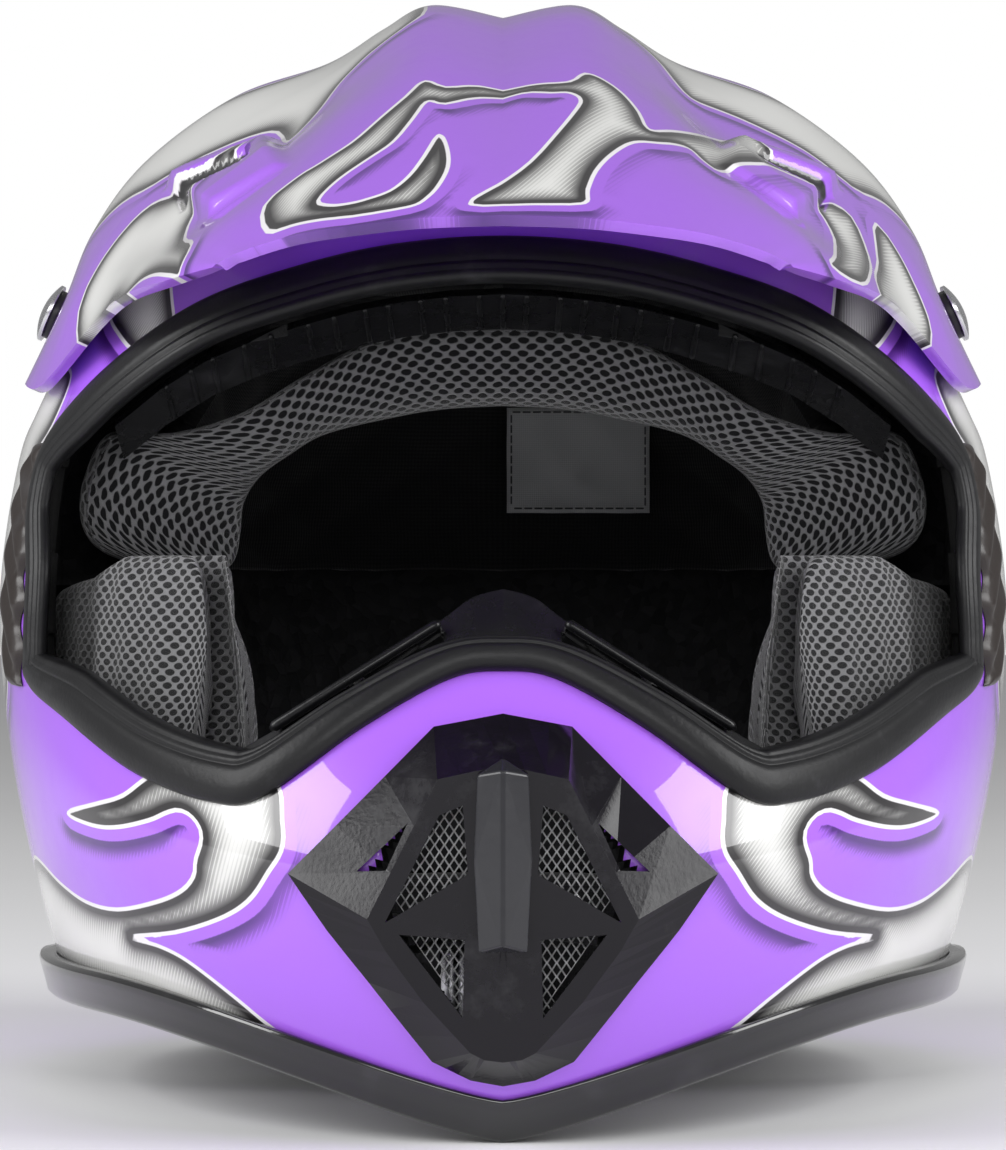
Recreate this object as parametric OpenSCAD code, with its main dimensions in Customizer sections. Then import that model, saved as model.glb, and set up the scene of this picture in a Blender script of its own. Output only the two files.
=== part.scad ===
// Motocross helmet: painted shell, padded liner, and a peak that tilts on three screws.
// The face looks along -Y, +X is on the right of that view, and the helmet stands on z = 0.

/* [Shell] */
// Half width of the shell at its widest section
shell_half_w = 125.5; // [123:0.5:128]
// Height of the widest section above the table
widest_z = 115; // [112:1:118]
// Height of the crown
crown_z = 246; // [244:1:248]
// Wall of the shell
shell_t = 4; // [3:0.5:4.5]
// Whole length from the lip of the peak to the back of the shell
length = 320; // [318:1:322]

/* [Face opening] */
// Width of the rubber band on the shell
gasket_w = 13.5; // [12.5:0.5:14]
// How far the band stands out of the shell
gasket_h = 3.4; // [2.5:0.1:4]

/* [Peak] */
// Thickness of the peak's skin
peak_t = 2.5; // [2:0.1:2.8]
// Height of the tilt axis
tilt_z = 187.5; // [187:0.5:188]
// How far the peak tilts each way, in degrees
tilt_range = 4.5; // [3:0.5:4.5]
// Radius of the screw holes in the peak's ears
ear_hole_r = 3.2; // [3:0.1:3.6]

/* [Screws] */
// Radius of the domed heads
screw_head_r = 7.3; // [6.8:0.1:8]
// Radius of the screw shanks
screw_shank_r = 2.5; // [2.2:0.1:2.6]

/* [Padding] */
// Thickness of the foam liner
foam_t = 25; // [22:1:26]
// Thickness of the sewn crown liner
liner_t = 7; // [5:1:9]

/* [Chin strap] */
// Width of the webbing
strap_w = 25; // [22:1:27]
// Thickness of the webbing
strap_t = 1.6; // [1.4:0.1:2]
// Radius of the ring wire
ring_wire_r = 1.6; // [1.4:0.1:1.7]

/* [Hidden] */

gap = 0.6;
back_y = length / 2;
back_reach = 130;
centre_y = back_y - back_reach;
front_reach = 139;
chin_z = 55;
chin_out = 40;
trim_h = 9.5;
tilt_y = 10;
ear_cant = 25;
ear_out = [109, tilt_y, tilt_z + 0.5];
ear_normal = [cos(ear_cant), 0, sin(ear_cant)];
ear_recess = 6;

// ---------- the shell's surface ----------
// Sections are level ovals. high() runs from 0 at the widest one to 1 at the crown.
function clip(v) = min(1, max(0, v));
function high(z, d) = clip((z - widest_z) / (crown_z - d - widest_z));
function below(z) = max(0, widest_z - z) / 100;
function half_w(z, d) = (shell_half_w - d) * pow(1 - pow(high(z, d), 1.6), 0.27)
    - 20 * pow(below(z), 1.7);
function chin_bulge(z) = chin_out * exp(-pow((z - chin_z) / (z > chin_z ? 43 : 60), 2));
function front_r(z, d) = (front_reach - d) * pow(1 - pow(high(z, d), 2), 0.47)
    - 10 * pow(below(z), 1.6) + chin_bulge(z);
function back_r(z, d) = (back_reach - d) * pow(1 - pow(high(z, d), 2.1), 0.45)
    - 22 * pow(below(z), 1.6);
function oval_n(z) = 1.8 + 0.6 * clip((z - 50) / 100);
// The flat recess that each ear of the peak lies in
function recess(y, z) = ear_recess
    * exp(-pow(pow((y - tilt_y) / 26, 2) + pow((z - tilt_z) / 22, 2), 2));
// Point at angle a from the front, height z, and depth d inside the surface
function at(a, z, d = 0) = let (
    y = centre_y + (cos(a) > 0 ? -front_r(z, d) : back_r(z, d)) * abs(cos(a)),
    x = half_w(z, d) * pow(abs(sin(a)), 2 / oval_n(z)))
    [sign(sin(a)) * (x - recess(y, z)), y, z];
// Half width at a given y, and the front face's y at a given x
function side_x(y, z, d = 0) = half_w(z, d)
    * pow(max(0, 1 - pow((y - centre_y) / (y < centre_y ? front_r(z, d) : back_r(z, d)), 2)),
        1 / oval_n(z)) - recess(y, z);
function face_y(x, z, d = 0) = centre_y - front_r(z, d)
    * sqrt(max(0, 1 - pow(min(1, abs(x) / half_w(z, d)), oval_n(z))));
// Height of the lower rim: lowest at the chin, up over the shoulders, low at the nape
function rim(a) = let (f = abs(a) > 180 ? 360 - abs(a) : abs(a))
    f < 58 ? 23 * pow(sin(min(90, 1.55 * f)), 1.4) : 23 - 19 * pow((f - 58) / 122, 2);

// ---------- small tools ----------
function unit(v) = v / norm(v);
function bend(p, q, r, s, t) = 0.5 * (2 * q + (r - p) * t + (2 * p - 5 * q + 4 * r - s) * t * t
    + (3 * q - p - 3 * r + s) * t * t * t);
function smooth(pts, k) = let (m = len(pts) - 1) [
    for (i = [0:m - 1], s = [0:k - 1])
        bend(pts[max(0, i - 1)], pts[i], pts[i + 1], pts[min(m, i + 2)], s / k),
    pts[m]];
function smooth_loop(pts, k) = let (m = len(pts)) [
    for (i = [0:m - 1], s = [0:k - 1])
        bend(pts[(i + m - 1) % m], pts[i], pts[(i + 1) % m], pts[(i + 2) % m], s / k)];
function mirrored(half) = concat(half, [for (i = [len(half) - 2:-1:1]) [-half[i].x, half[i].y]]);
function columns(grid) = [for (j = [0:len(grid[0]) - 1]) [for (row = grid) row[j]]];
function flat(grid) = [for (row = grid) each row];
function quad(a, b, c, d) = [[a, b, c], [a, c, d]];

// Closed solid between an outer and an inner grid of points, rows upwards, columns to +X
module slab(outer, inner) {
    rows = len(outer);
    cols = len(outer[0]);
    n = rows * cols;
    function o(i, j) = i * cols + j;
    function q(i, j) = n + i * cols + j;
    polyhedron(concat(flat(outer), flat(inner)), concat(
        [for (i = [0:rows - 2], j = [0:cols - 2])
            each quad(o(i, j), o(i + 1, j), o(i + 1, j + 1), o(i, j + 1))],
        [for (i = [0:rows - 2], j = [0:cols - 2])
            each quad(q(i, j), q(i, j + 1), q(i + 1, j + 1), q(i + 1, j))],
        [for (j = [0:cols - 2]) each quad(o(0, j), o(0, j + 1), q(0, j + 1), q(0, j))],
        [for (j = [0:cols - 2])
            each quad(o(rows - 1, j + 1), o(rows - 1, j), q(rows - 1, j), q(rows - 1, j + 1))],
        [for (i = [0:rows - 2]) each quad(o(i + 1, 0), o(i, 0), q(i, 0), q(i + 1, 0))],
        [for (i = [0:rows - 2])
            each quad(o(i, cols - 1), o(i + 1, cols - 1), q(i + 1, cols - 1), q(i, cols - 1))]));
}

// Ring of closed sections that comes back to its start
module hoop(sections) {
    rows = len(sections);
    cols = len(sections[0]);
    function o(i, j) = (i % rows) * cols + j % cols;
    polyhedron(flat(sections), [for (i = [0:rows - 1], j = [0:cols - 1])
        each quad(o(i, j), o(i, j + 1), o(i + 1, j + 1), o(i + 1, j))]);
}

// Bowl between two depths under the shell's surface; low(a) is its lower edge
module bowl(depth_out, depth_in, around, levels, low) {
    step = 360 / around;
    function row(s, d) = [for (j = [0:around - 1]) let (a = j * step, top = crown_z - d)
        at(a, low(a) + s * (top - low(a)), d)];
    outer = [for (s = levels) row(s, depth_out)];
    inner = [for (s = levels) row(s, depth_in)];
    rows = len(levels);
    n = rows * around;
    function o(i, j) = i * around + j % around;
    function q(i, j) = n + i * around + j % around;
    polyhedron(concat(flat(outer), flat(inner)), concat(
        [for (i = [0:rows - 2], j = [0:around - 1])
            each quad(o(i, j), o(i + 1, j), o(i + 1, j + 1), o(i, j + 1))],
        [for (i = [0:rows - 2], j = [0:around - 1])
            each quad(q(i, j), q(i, j + 1), q(i + 1, j + 1), q(i + 1, j))],
        [for (j = [0:around - 1]) each quad(o(0, j), o(0, j + 1), q(0, j + 1), q(0, j))],
        [[for (j = [around - 1:-1:0]) o(rows - 1, j)]],
        [[for (j = [0:around - 1]) q(rows - 1, j)]]));
}

module pair() {
    children();
    mirror([1, 0, 0]) children();
}

// ---------- the face opening ----------
// Right half of the rubber band's outer edge, seen from the front: x and z
opening_half = [[0, 201], [24, 199.3], [46, 194.6], [70, 186.5], [92, 172], [106, 157],
    [110.8, 141], [110.6, 124], [111, 108], [110, 98.5], [100, 91], [82, 79.8], [64, 74.4],
    [52, 76], [31, 90.7], [12, 101.4], [0, 103.3]];
opening = smooth_loop(mirrored(opening_half), 2);
edge_pts = [for (p = opening) [p.x, face_y(p.x, p.y), p.y]];
function face_normal(x, z) = unit([(face_y(x + 1, z) - face_y(x - 1, z)) / 2, -1,
    (face_y(x, z + 1) - face_y(x, z - 1)) / 2]);
edge_frames = [for (i = [0:len(edge_pts) - 1]) let (
    m = len(edge_pts), p = edge_pts[i],
    along = unit(edge_pts[(i + 1) % m] - edge_pts[(i + m - 1) % m]),
    out = face_normal(p.x, p.z))
    [p, unit(cross(along, out)), out]];
// The rubber band is narrower over the nose and at the temples
function band_share(p) = 1 - (p.z < 118 ? 0.36 * exp(-pow(p.x / 44, 2)) : 0)
    - 0.24 * clip((abs(p.x) - 98) / 10);
// Point beside the edge: in towards the face by b, then out of the shell by h, or straight back
function beside(i, b, h) = let (
    f = edge_frames[i % len(edge_frames)],
    q = f[0] + b * band_share(f[0]) * f[1])
    [q.x, min(q.y, face_y(q.x, q.z)), q.z] + h * (h < 0 ? [0, -1, 0] : f[2]);

module opening_cut(b) {
    // The two offsets drop the small loop where the outline turns tighter than b
    translate([0, 12, 0]) rotate([90, 0, 0]) linear_extrude(260)
        offset(delta = 0.5) offset(delta = -0.5)
            polygon([for (i = [0:len(edge_pts) - 1]) let (p = beside(i, b, 0)) [p.x, p.z]]);
}

shell_levels = [0, 0.04, 0.1, 0.18, 0.27, 0.32, 0.37, 0.42, 0.47, 0.56, 0.65, 0.73, 0.8, 0.86,
    0.91, 0.95, 0.98, 0.995];
foam_levels = [0, 0.15, 0.3, 0.45, 0.6, 0.73, 0.84, 0.92, 0.97, 0.995];

module outer_shell() {
    color("mediumpurple") resize([0, 0, 0]) difference() {
        union() {
            bowl(0, shell_t, 60, shell_levels, function (a) rim(a) + 3.3);
            pair() ear_boss();
            crown_boss();
        }
        opening_cut(gasket_w - 5.6);
        mouth_opening();
        pair() ear_place() rotate([0, 0, 8]) cylinder(h = 40, r = 4, center = true, $fn = 24);
        crown_place() translate([0, 0, 40]) cylinder(h = 40, r = 4, $fn = 24);
        rear_vent_holes();
        pair() rivet_place() rotate([0, 0, 6]) cylinder(h = 30, r = 3.3, center = true, $fn = 20);
    }
}

// ---------- peak mountings ----------
module ear_place() {
    translate(ear_out) rotate([0, 90 - ear_cant, 0]) children();
}
module ear_boss() {
    ear_place() translate([0, 0, -7.4]) rotate([0, 0, 8])
        cylinder(h = 7.4 - peak_t - 0.4, r = 7, $fn = 30);
}
crown_screw_y = 8;
crown_lean = -atan2(crown_screw_y - tilt_y, 58.1);
boss_r = 62.4;
module crown_place() {
    translate([0, tilt_y, tilt_z]) rotate([crown_lean, 0, 0]) children();
}
module crown_boss() {
    crown_place() translate([0, 0, boss_r - 6]) cylinder(h = 5.2, r = 8, $fn = 40);
}
module screw(head_r, dome, length_in) {
    translate([0, 0, -length_in]) cylinder(h = length_in, r = screw_shank_r, $fn = 48);
    cylinder(h = 0.9, r = head_r, $fn = 64);
    translate([0, 0, 0.9]) intersection() {
        cylinder(h = dome, r = head_r, $fn = 64);
        translate([0, 0, dome - dome_r(head_r, dome)]) sphere(r = dome_r(head_r, dome), $fn = 96);
    }
}
function dome_r(r, h) = (r * r + h * h) / (2 * h);
module socket(depth) {
    translate([0, 0, 0.6]) cylinder(h = depth, r = 2.6, $fn = 6);
}
washer_t = 1.8;
module washer(r) {
    difference() {
        cylinder(h = washer_t, r = r, $fn = 64);
        translate([0, 0, -1]) cylinder(h = washer_t + 2, r = screw_shank_r + 0.05, $fn = 48);
    }
}
module side_screw() {
    color("silver") difference() {
        ear_place() translate([0, 0, 0.4 + washer_t]) screw(screw_head_r, 1.9, 14);
        ear_place() translate([0, 0, 0.4 + washer_t]) socket(4);
    }
}
module side_washer() {
    color("black") ear_place() translate([0, 0, 0.4]) washer(6.25);
}
module visor_screw_right() { side_screw(); }
module visor_screw_left() { mirror([1, 0, 0]) side_screw(); }
module visor_washer_right() { side_washer(); }
module visor_washer_left() { mirror([1, 0, 0]) side_washer(); }
tab_r = boss_r + 0.4;
module visor_screw_top() {
    color("silver") difference() {
        crown_place() translate([0, 0, tab_r + peak_t + 0.4 + washer_t]) screw(6.4, 1.7, 15);
        crown_place() translate([0, 0, tab_r + peak_t + 0.4 + washer_t]) socket(4);
    }
}
module visor_washer_top() {
    color("black") crown_place() translate([0, 0, tab_r + peak_t + 0.4]) washer(7.5);
}
module insert() {
    difference() {
        cylinder(h = 9, r = 3.8, $fn = 48);
        translate([0, 0, -1]) cylinder(h = 11, r = screw_shank_r + 0.05, $fn = 48);
    }
}
module visor_inserts() {
    color("goldenrod") {
        pair() ear_place() translate([0, 0, -peak_t - 10]) insert();
        crown_place() translate([0, 0, boss_r - 9.8]) insert();
    }
}

// ---------- the peak ----------
// Right half as rows from the lip to the back edge, each from the middle out to the lower edge
peak_rows = [
    [[0, -160, 200], [17.5, -159, 199.4], [33, -155, 198], [43, -150, 196.8], [52, -142, 195],
        [57, -138, 193.6], [60, -134.5, 192.4], [61.8, -132.5, 191.7], [62.7, -131, 191]],
    [[0, -130, 215], [17.5, -130, 216], [35, -128, 212.5], [48, -124, 208], [58, -119, 203.5],
        [64, -115, 200], [68, -113, 196.5], [71.5, -112, 193], [73.5, -112, 189.6]],
    [[0, -95, 231], [17.5, -95, 233.5], [34, -94, 228], [47, -92, 220], [57, -89, 213],
        [66, -86, 207], [73, -85, 201], [80, -86, 195], [85, -88, 187.8]],
    [[0, -60, 244.5], [17.5, -60, 247.5], [32, -60, 240], [44, -58, 231], [56, -58, 223],
        [72, -56, 214.5], [82, -54, 206], [90, -55, 195], [95, -58, 183]],
    [[0, -25, 256], [17.5, -25, 259.3], [30, -25, 252.5], [42, -24, 244],
        [58.2, -24.1, 235.3], [80.2, -24.1, 221.3], [93.1, -26, 207], [102.2, -29.1, 191.1],
        [109.3, -33.3, 169.8]],
    [[0, 8, 261], [17.5, 8, 263.7], [29, 8, 258.6], [43, 8, 250.6],
        [65, 5.7, 242.2], [87.3, 2.7, 225.5], [100.3, -0.1, 208], [107.2, -5, 190.5],
        [116.3, -6, 171]],
    [[0, 38, 252.5], [17.5, 37, 254.2], [29, 35, 252.6], [43.5, 32.2, 250.1],
        [65.9, 29, 244.7], [88.8, 25.8, 228.6], [102.2, 25, 210.1], [107.5, 25, 192.1],
        [115, 13, 174.5]]];
peak_fine = columns([for (c = columns([for (r = peak_rows) smooth(r, 2)])) smooth(c, 3)]);
function flipped(row) = [for (i = [len(row) - 1:-1:1]) [-row[i].x, row[i].y, row[i].z]];
peak_top = [for (r = peak_fine) concat(flipped(r), r)];
function lean(grid, i, j) = let (m = len(grid) - 1, n = len(grid[0]) - 1,
    u = grid[i][min(n, j + 1)] - grid[i][max(0, j - 1)],
    v = grid[min(m, i + 1)][j] - grid[max(0, i - 1)][j])
    unit(cross(u, v));
function sunk(grid, d) = [for (i = [0:len(grid) - 1]) [for (j = [0:len(grid[0]) - 1])
    grid[i][j] - d * lean(grid, i, j)]];

module pod_body(grow) {
    hull() {
        translate([53, -61, 214]) rotate([-12, 0, 0]) cube([1, 1, 9 + grow]);
        translate([77, -57, 206.5]) rotate([-12, 0, 0]) cube([1, 1, 5 + grow]);
        translate([56, -30, 228]) cube([1, 1, 8 + grow]);
        translate([80, -26, 214]) cube([1, 1, 6 + grow]);
    }
}
module peak_pod() {
    difference() {
        pod_body(2);
        translate([0, 3, -2.2]) resize([0, 0, 0]) pod_body(-1.5);
        translate([64, -60, 214.5]) rotate([0, 24, 0]) cube([19, 22, 3.6], center = true);
    }
}
module visor() {
    color("mediumorchid") resize([0, 0, 0]) difference() {
        union() {
            slab(peak_top, sunk(peak_top, peak_t));
            pair() peak_pod();
            pair() ear_place() translate([0, 0, -peak_t]) cylinder(h = peak_t, r = 10, $fn = 40);
            pocket_wall();
            tongue();
        }
        pocket_room();
        pair() ear_place() cylinder(h = 30, r = ear_hole_r, center = true, $fn = 40);
        pair() ear_place() cylinder(h = 6, r = 9.2, $fn = 40);
        tongue_slot();
    }
}
pocket_w = 26;
pocket_y0 = -7;
pocket_y1 = 23;
module under_tongue() {
    translate([0, tilt_y, tilt_z]) rotate([0, 90, 0])
        cylinder(h = 80, r = tab_r, center = true, $fn = 160);
}
module above_tongue() {
    translate([0, tilt_y, tilt_z]) rotate([0, 90, 0])
        cylinder(h = 80, r = tab_r + peak_t, center = true, $fn = 160);
}
module pocket_block(grow, z0) {
    translate([-pocket_w / 2 - grow, pocket_y0 - grow, z0])
        cube([pocket_w + 2 * grow, pocket_y1 - pocket_y0 + 2 * grow, 60]);
}
module pocket_room() {
    difference() {
        pocket_block(0, 230);
        above_tongue();
    }
}
module pocket_wall() {
    intersection() {
        slab(peak_top, sunk(peak_top, 14));
        difference() {
            pocket_block(peak_t, 230);
            under_tongue();
        }
    }
}
module tongue() {
    intersection() {
        pocket_block(peak_t, 230);
        difference() {
            above_tongue();
            under_tongue();
        }
    }
}
module tongue_slot() {
    travel = tilt_range + 1;
    for (lean = [-travel:travel:travel])
        translate([0, tilt_y, tilt_z]) rotate([crown_lean + lean, 0, 0])
            cylinder(h = 90, r = ear_hole_r, $fn = 32);
    for (side = [-1:2:1])
        translate([0, tilt_y, tilt_z]) rotate([crown_lean + side * travel / 2, 0, 0])
            translate([-ear_hole_r, -4.2, 40]) cube([2 * ear_hole_r, 8.4, 40]);
}

// ---------- foam and trim ----------
module eps_liner() {
    color("dimgray") resize([0, 0, 0]) difference() {
        bowl(shell_t + 1.8, shell_t + foam_t, 44, foam_levels, function (a)
            122 - 77 * clip((abs(cos(a / 2)) < 0.5 ? 0.5 - abs(cos(a / 2)) : 0) * 5));
        opening_cut(gasket_w - 8);
        translate([-104, -150, 60]) cube([208, 150, 128]);
        crown_place() cylinder(h = 61.4, r = 5, $fn = 24);
        pair() ear_place() translate([0, 0, -24]) cylinder(h = 24, r = 6, $fn = 24);
        rear_vent_holes();
    }
}
module chin_bar_foam() {
    angles = [-40:8:40];
    function top_z(a) = 92 - 26 * pow(sin(min(90, abs(a) * 2)), 2);
    function grid(d) = [for (s = [0:0.2:1]) [for (a = angles)
        let (z = rim(a) + 22 + s * (top_z(a) - rim(a) - 22)) at(a, z, d)]];
    color("dimgray") resize([0, 0, 0]) difference() {
        slab(grid(shell_t + 2.2), grid(shell_t + 16));
        mouth_opening();
    }
}
module eyeport_gasket() {
    w = gasket_w;
    h = gasket_h;
    profile = [[0, 0.9], [0.8, h * 0.6], [w * 0.4, h], [w * 0.7, h * 0.9], [w * 0.93, h * 0.3],
        [w, -3], [w, -9], [w - 3.3, -9], [w - 3.3, 0.9], [w * 0.4, 1.1]];
    color("black") hoop([for (i = [0:len(edge_pts) - 1])
        [for (j = [len(profile) - 1:-1:0]) beside(i, profile[j].x, profile[j].y)]]);
}
module base_trim() {
    // Offsets out from the shell and heights above the lower rim, around a channel for its edge
    function section(a) = let (
        here = at(a, rim(a) + trim_h),
        next = at(a + 1, rim(a) + trim_h),
        along = unit([next.x - here.x, next.y - here.y, 0]),
        out = [along.y, -along.x, 0],
        flare = 2 + 3 * pow(sin(a), 2),
        shape = [[flare, trim_h], [flare, 0.8], [flare - 1, 0], [-12, 0], [-14, 1], [-14, 7],
            [-12.4, 7], [-11.6, 2.7], [0.5, 2.7], [0.5, trim_h]])
        [for (p = shape) let (wall = at(a, rim(a) + max(p.y, 2.7)))
            [wall.x + p.x * out.x, wall.y + p.x * out.y, rim(a) + p.y]];
    color("black") hoop([for (a = [0:6:354]) section(a)]);
}
module nose_guard() {
    // Top edge of the guard, from the middle out: x, z, and the drop to its lower edge
    crest = [[0, 121.5, 13], [7, 119.5, 13], [14, 114.5, 13], [30, 104, 14], [47, 92.5, 14],
        [58, 86, 10]];
    line = smooth([for (p = crest) p], 2);
    function row(v, d) = [for (side = [-1, 1]) each
        [for (i = side < 0 ? [len(line) - 1:-1:1] : [0:len(line) - 1])
            let (p = line[i], z = p[1] - v * p[2])
            [side * p[0], face_y(p[0], z) + 13.5 + 3 * (1 - v) + d, z]]];
    color("black") resize([0, 0, 0]) difference() {
        slab([for (v = [1, 0.5, 0]) row(v, 0)], [for (v = [1, 0.5, 0]) row(v, 2.6)]);
        pair() for (s = [[20.5, 108.2], [40, 95.4]])
            translate([s.x, -100, s.y]) rotate([0, 32.5, 0])
                cube([18.5, 60, 2.6], center = true);
    }
}
module brow_vent_strip() {
    m = len(edge_pts);
    reach = 8;
    function row(b, h) = [for (i = [-reach:reach]) beside(i + m, b, h)];
    color("black") resize([0, 0, 0]) difference() {
        slab([row(26, -36), row(16.6, -13)], [row(24, -37), row(14.4, -14)]);
        for (x = [-54, -38, -22, 22, 38, 54])
            translate([x, -90 + 0.006 * x * x, 180]) cube([9, 9, 60], center = true);
    }
}
// Rubber pad beside the face opening: five waves along its front edge
module side_grip() {
    z0 = 98;
    z1 = 156;
    function grid(d, e) = [for (s = [0:0.04:1]) let (
        z = z0 + e + s * (z1 - z0 - 2 * e),
        ends = pow(abs(2 * s - 1), 4))
        [for (t = [0:0.25:1]) let (
            y0 = -33.6 + 1.5 * sin(s * 360 * 5) + e,
            y1 = -19 - 8 * ends - e,
            y = y0 + t * (y1 - y0))
            [side_x(y, z) + d, y, z]]];
    color("black") slab(grid(2.6, 1.2), grid(0.4, 0));
}
module side_grip_right() { side_grip(); }
module side_grip_left() { mirror([1, 0, 0]) side_grip(); }

// ---------- mouth vent ----------
vent_y = -140;
// Right half of the hole in the chin, x and z
vent_hole = [[0, 84], [15, 80], [30, 60], [22, 44], [9, 26], [0, 24]];
module mouth_opening() {
    translate([0, -60, 0]) rotate([90, 0, 0]) linear_extrude(110) polygon(mirrored(vent_hole));
}
// Corners of the faceted cover on its right half: x, y, z
vent_rim = [[0, 94.5], [15, 91.7], [46.5, 60], [38, 48], [29, 36.8], [15.4, 19], [7, 14.8],
    [0, 13.5]];
vent_mid = [[0, -147, 84], [14, -146, 81], [29, -143, 51], [25, -142.5, 44], [17, -141, 33],
    [7, -139, 22], [4, -139, 20.5], [0, -139, 20]];
function divided(pts, k) = concat(
    [for (i = [0:len(pts) - 2], t = [0:k - 1]) pts[i] + t / k * (pts[i + 1] - pts[i])],
    [pts[len(pts) - 1]]);
module vent_blank() {
    rim_half = divided(vent_rim, 3);
    mid_half = divided(vent_mid, 3);
    m = len(rim_half);
    function edge(side, i) = let (p = rim_half[i]) [side * p.x, face_y(p.x, p.y) - 3, p.y];
    rim_pts = concat([for (i = [0:m - 1]) edge(1, i)], [for (i = [m - 2:-1:1]) edge(-1, i)]);
    mid_pts = concat(mid_half,
        [for (i = [m - 2:-1:1]) [-mid_half[i].x, mid_half[i].y, mid_half[i].z]]);
    k = len(rim_pts);
    hub = [[0, -144, 52]];
    deep = [[0, -118, 52]];
    polyhedron(concat(rim_pts, mid_pts, hub, deep), concat(
        [for (i = [0:k - 1]) each quad(i, (i + 1) % k, k + (i + 1) % k, k + i)],
        [for (i = [0:k - 1]) [k + i, k + (i + 1) % k, 2 * k]],
        [for (i = [0:k - 1]) [(i + 1) % k, i, 2 * k + 1]]));
}
module window(points) {
    translate([0, -100, 0]) rotate([90, 0, 0]) linear_extrude(80) polygon(points);
}
module mouth_vent_cover() {
    color("darkslategray") resize([0, 0, 0]) difference() {
        vent_blank();
        translate([0, 2.4, 0]) vent_blank();
        pair() window([[8.6, 75.4], [13.6, 73.3], [25.2, 50.3], [7.5, 60.6]]);
        pair() window([[22.2, 47.7], [8.2, 46.6], [8.6, 29.6]]);
        pair() window([[20.4, 71.5], [31.4, 61], [25, 61.4]]);
        translate([-4.4, -160, 44.6]) cube([8.8, 40, 36]);
    }
}
module mouth_vent_spine() {
    profile = [[0, 85.6], [5.5, 82], [6.2, 64], [5.2, 44.4]];
    outline = concat(profile, [for (i = [3:-1:1]) [-profile[i].x, profile[i].y]]);
    color("slategray") resize([0, 0, 0]) union() {
        hull() {
            translate([0, -148, 0]) rotate([90, 0, 0]) linear_extrude(1) polygon(outline);
            translate([-0.4, -153, 46]) cube([0.8, 1, 37]);
        }
        translate([-4, -149, 46]) cube([8, 10, 33]);
    }
}
module mouth_vent_mesh() {
    // Height and half width of the mesh, a little inside the hole in the chin
    spans = [[28, 9], [45, 20.5], [62, 25.5], [77, 15]];
    function grid(d) = [for (s = spans) [for (share = [-1:0.5:1])
        [share * s[1], -134 + d - (s[0] - 28) * 0.06, s[0]]]];
    color("silver") slab(grid(0), grid(1.2));
}
// Exhaust vents: place, upward tilt, outward turn, and width of each
rear_vents = [[[42, 141.5, 178], 28, 21, 44], [[36, 143.5, 56], -14, 23, 36]];
vent_grille_h = 13;
module rear_vent_place(v) {
    translate(v[0]) rotate([v[1], 0, -v[2]]) children();
}
module rear_vent_holes() {
    pair() for (v = rear_vents) rear_vent_place(v)
        cube([v[3] + gap, 40, vent_grille_h + gap], center = true);
}
module rear_vent_grilles() {
    color("black") pair() for (v = rear_vents) rear_vent_place(v) difference() {
        translate([0, -3.4, 0]) cube([v[3], 6, vent_grille_h], center = true);
        for (x = [-2:2]) translate([x * v[3] / 5.6, 0, 0])
            cube([v[3] / 5.6 - 2, 30, vent_grille_h - 4], center = true);
    }
}

// ---------- soft parts ----------
module crown_liner() {
    d0 = shell_t + foam_t + 2;
    color("gray") resize([0, 0, 0]) difference() {
        bowl(d0, d0 + liner_t, 44, [0, 0.2, 0.4, 0.6, 0.8, 0.93, 0.99], function (a) 126);
        translate([-104, -150, 60]) cube([208, 150, 130]);
    }
}
module forehead_pad() {
    // Front edges of the pad from the middle out to the temple: x, y, z
    upper = [[0, -50, 183], [16, -50, 182.4], [31, -48, 179.7], [47, -45, 171.5],
        [62, -40, 163], [78, -36, 158.5], [94, -31, 158.5], [100.5, -28, 148], [102, -27, 138],
        [101, -26, 129]];
    lower = [[0, -44, 164.5], [13, -44, 163.8], [25, -43, 162], [42, -40, 158],
        [51, -37, 153], [58, -34, 148], [62, -31, 142], [64.5, -28, 136.5], [65.5, -26, 131.5],
        [66, -25, 127.5]];
    line = [for (pts = [lower, upper]) smooth(pts, 2)];
    color("gray") resize([0, 0, 0])
        slab([for (r = line) concat(flipped(r), r)],
            [for (r = line) [for (p = concat(flipped(r), r)) p + [0, 14, 0]]]);
}
// Cheek padding on the right: a foam core against the shell and a cushion on its inner side
cheek_y = [-82, -62, -38, -12, 14, 28, 35];
cheek_in = [56, 57, 60, 64, 66, 68, 70];
cheek_z = [42, 56, 72, 90, 108, 120];
function cheek_face(i, z) = cheek_in[i] + 4 * pow((z - 84) / 42, 2);
function core_face(i, z) = max(side_x(cheek_y[i], z, shell_t + 18), cheek_face(i, z) + 7);
// The top edge stands higher in front, where there is no crash foam above it
cheek_rise = [6, 6, 6, 2, 0, 0, 0];
function risen(i, z) = z + cheek_rise[i] * clip((z - 108) / 12);
module cheek_block(outer_x, inner_x) {
    cols = [0:len(cheek_y) - 1];
    slab([for (z = cheek_z) [for (i = cols) [outer_x(i, z), cheek_y[i], risen(i, z)]]],
        [for (z = cheek_z) [for (i = cols) [inner_x(i, z), cheek_y[i], risen(i, z)]]]);
}
module cheek_core_right() {
    color("dimgray") resize([0, 0, 0]) difference() {
        cheek_block(
            function (i, z) max(side_x(cheek_y[i], z, shell_t + 7.5), core_face(i, z) + 4),
            function (i, z) core_face(i, z));
        snap_places() translate([0, 0, -2]) cylinder(h = 5.6, r = 3, $fn = 24);
    }
}
module cheek_core_left() { mirror([1, 0, 0]) cheek_core_right(); }
module cheek_pad_right() {
    color("gray") resize([0, 0, 0]) difference() {
        cheek_block(
            function (i, z) core_face(i, z) - gap,
            function (i, z) cheek_face(i, z));
        snap_places() translate([0, 0, -4]) cylinder(h = 9, r = 6.8, $fn = 24);
    }
}
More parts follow.
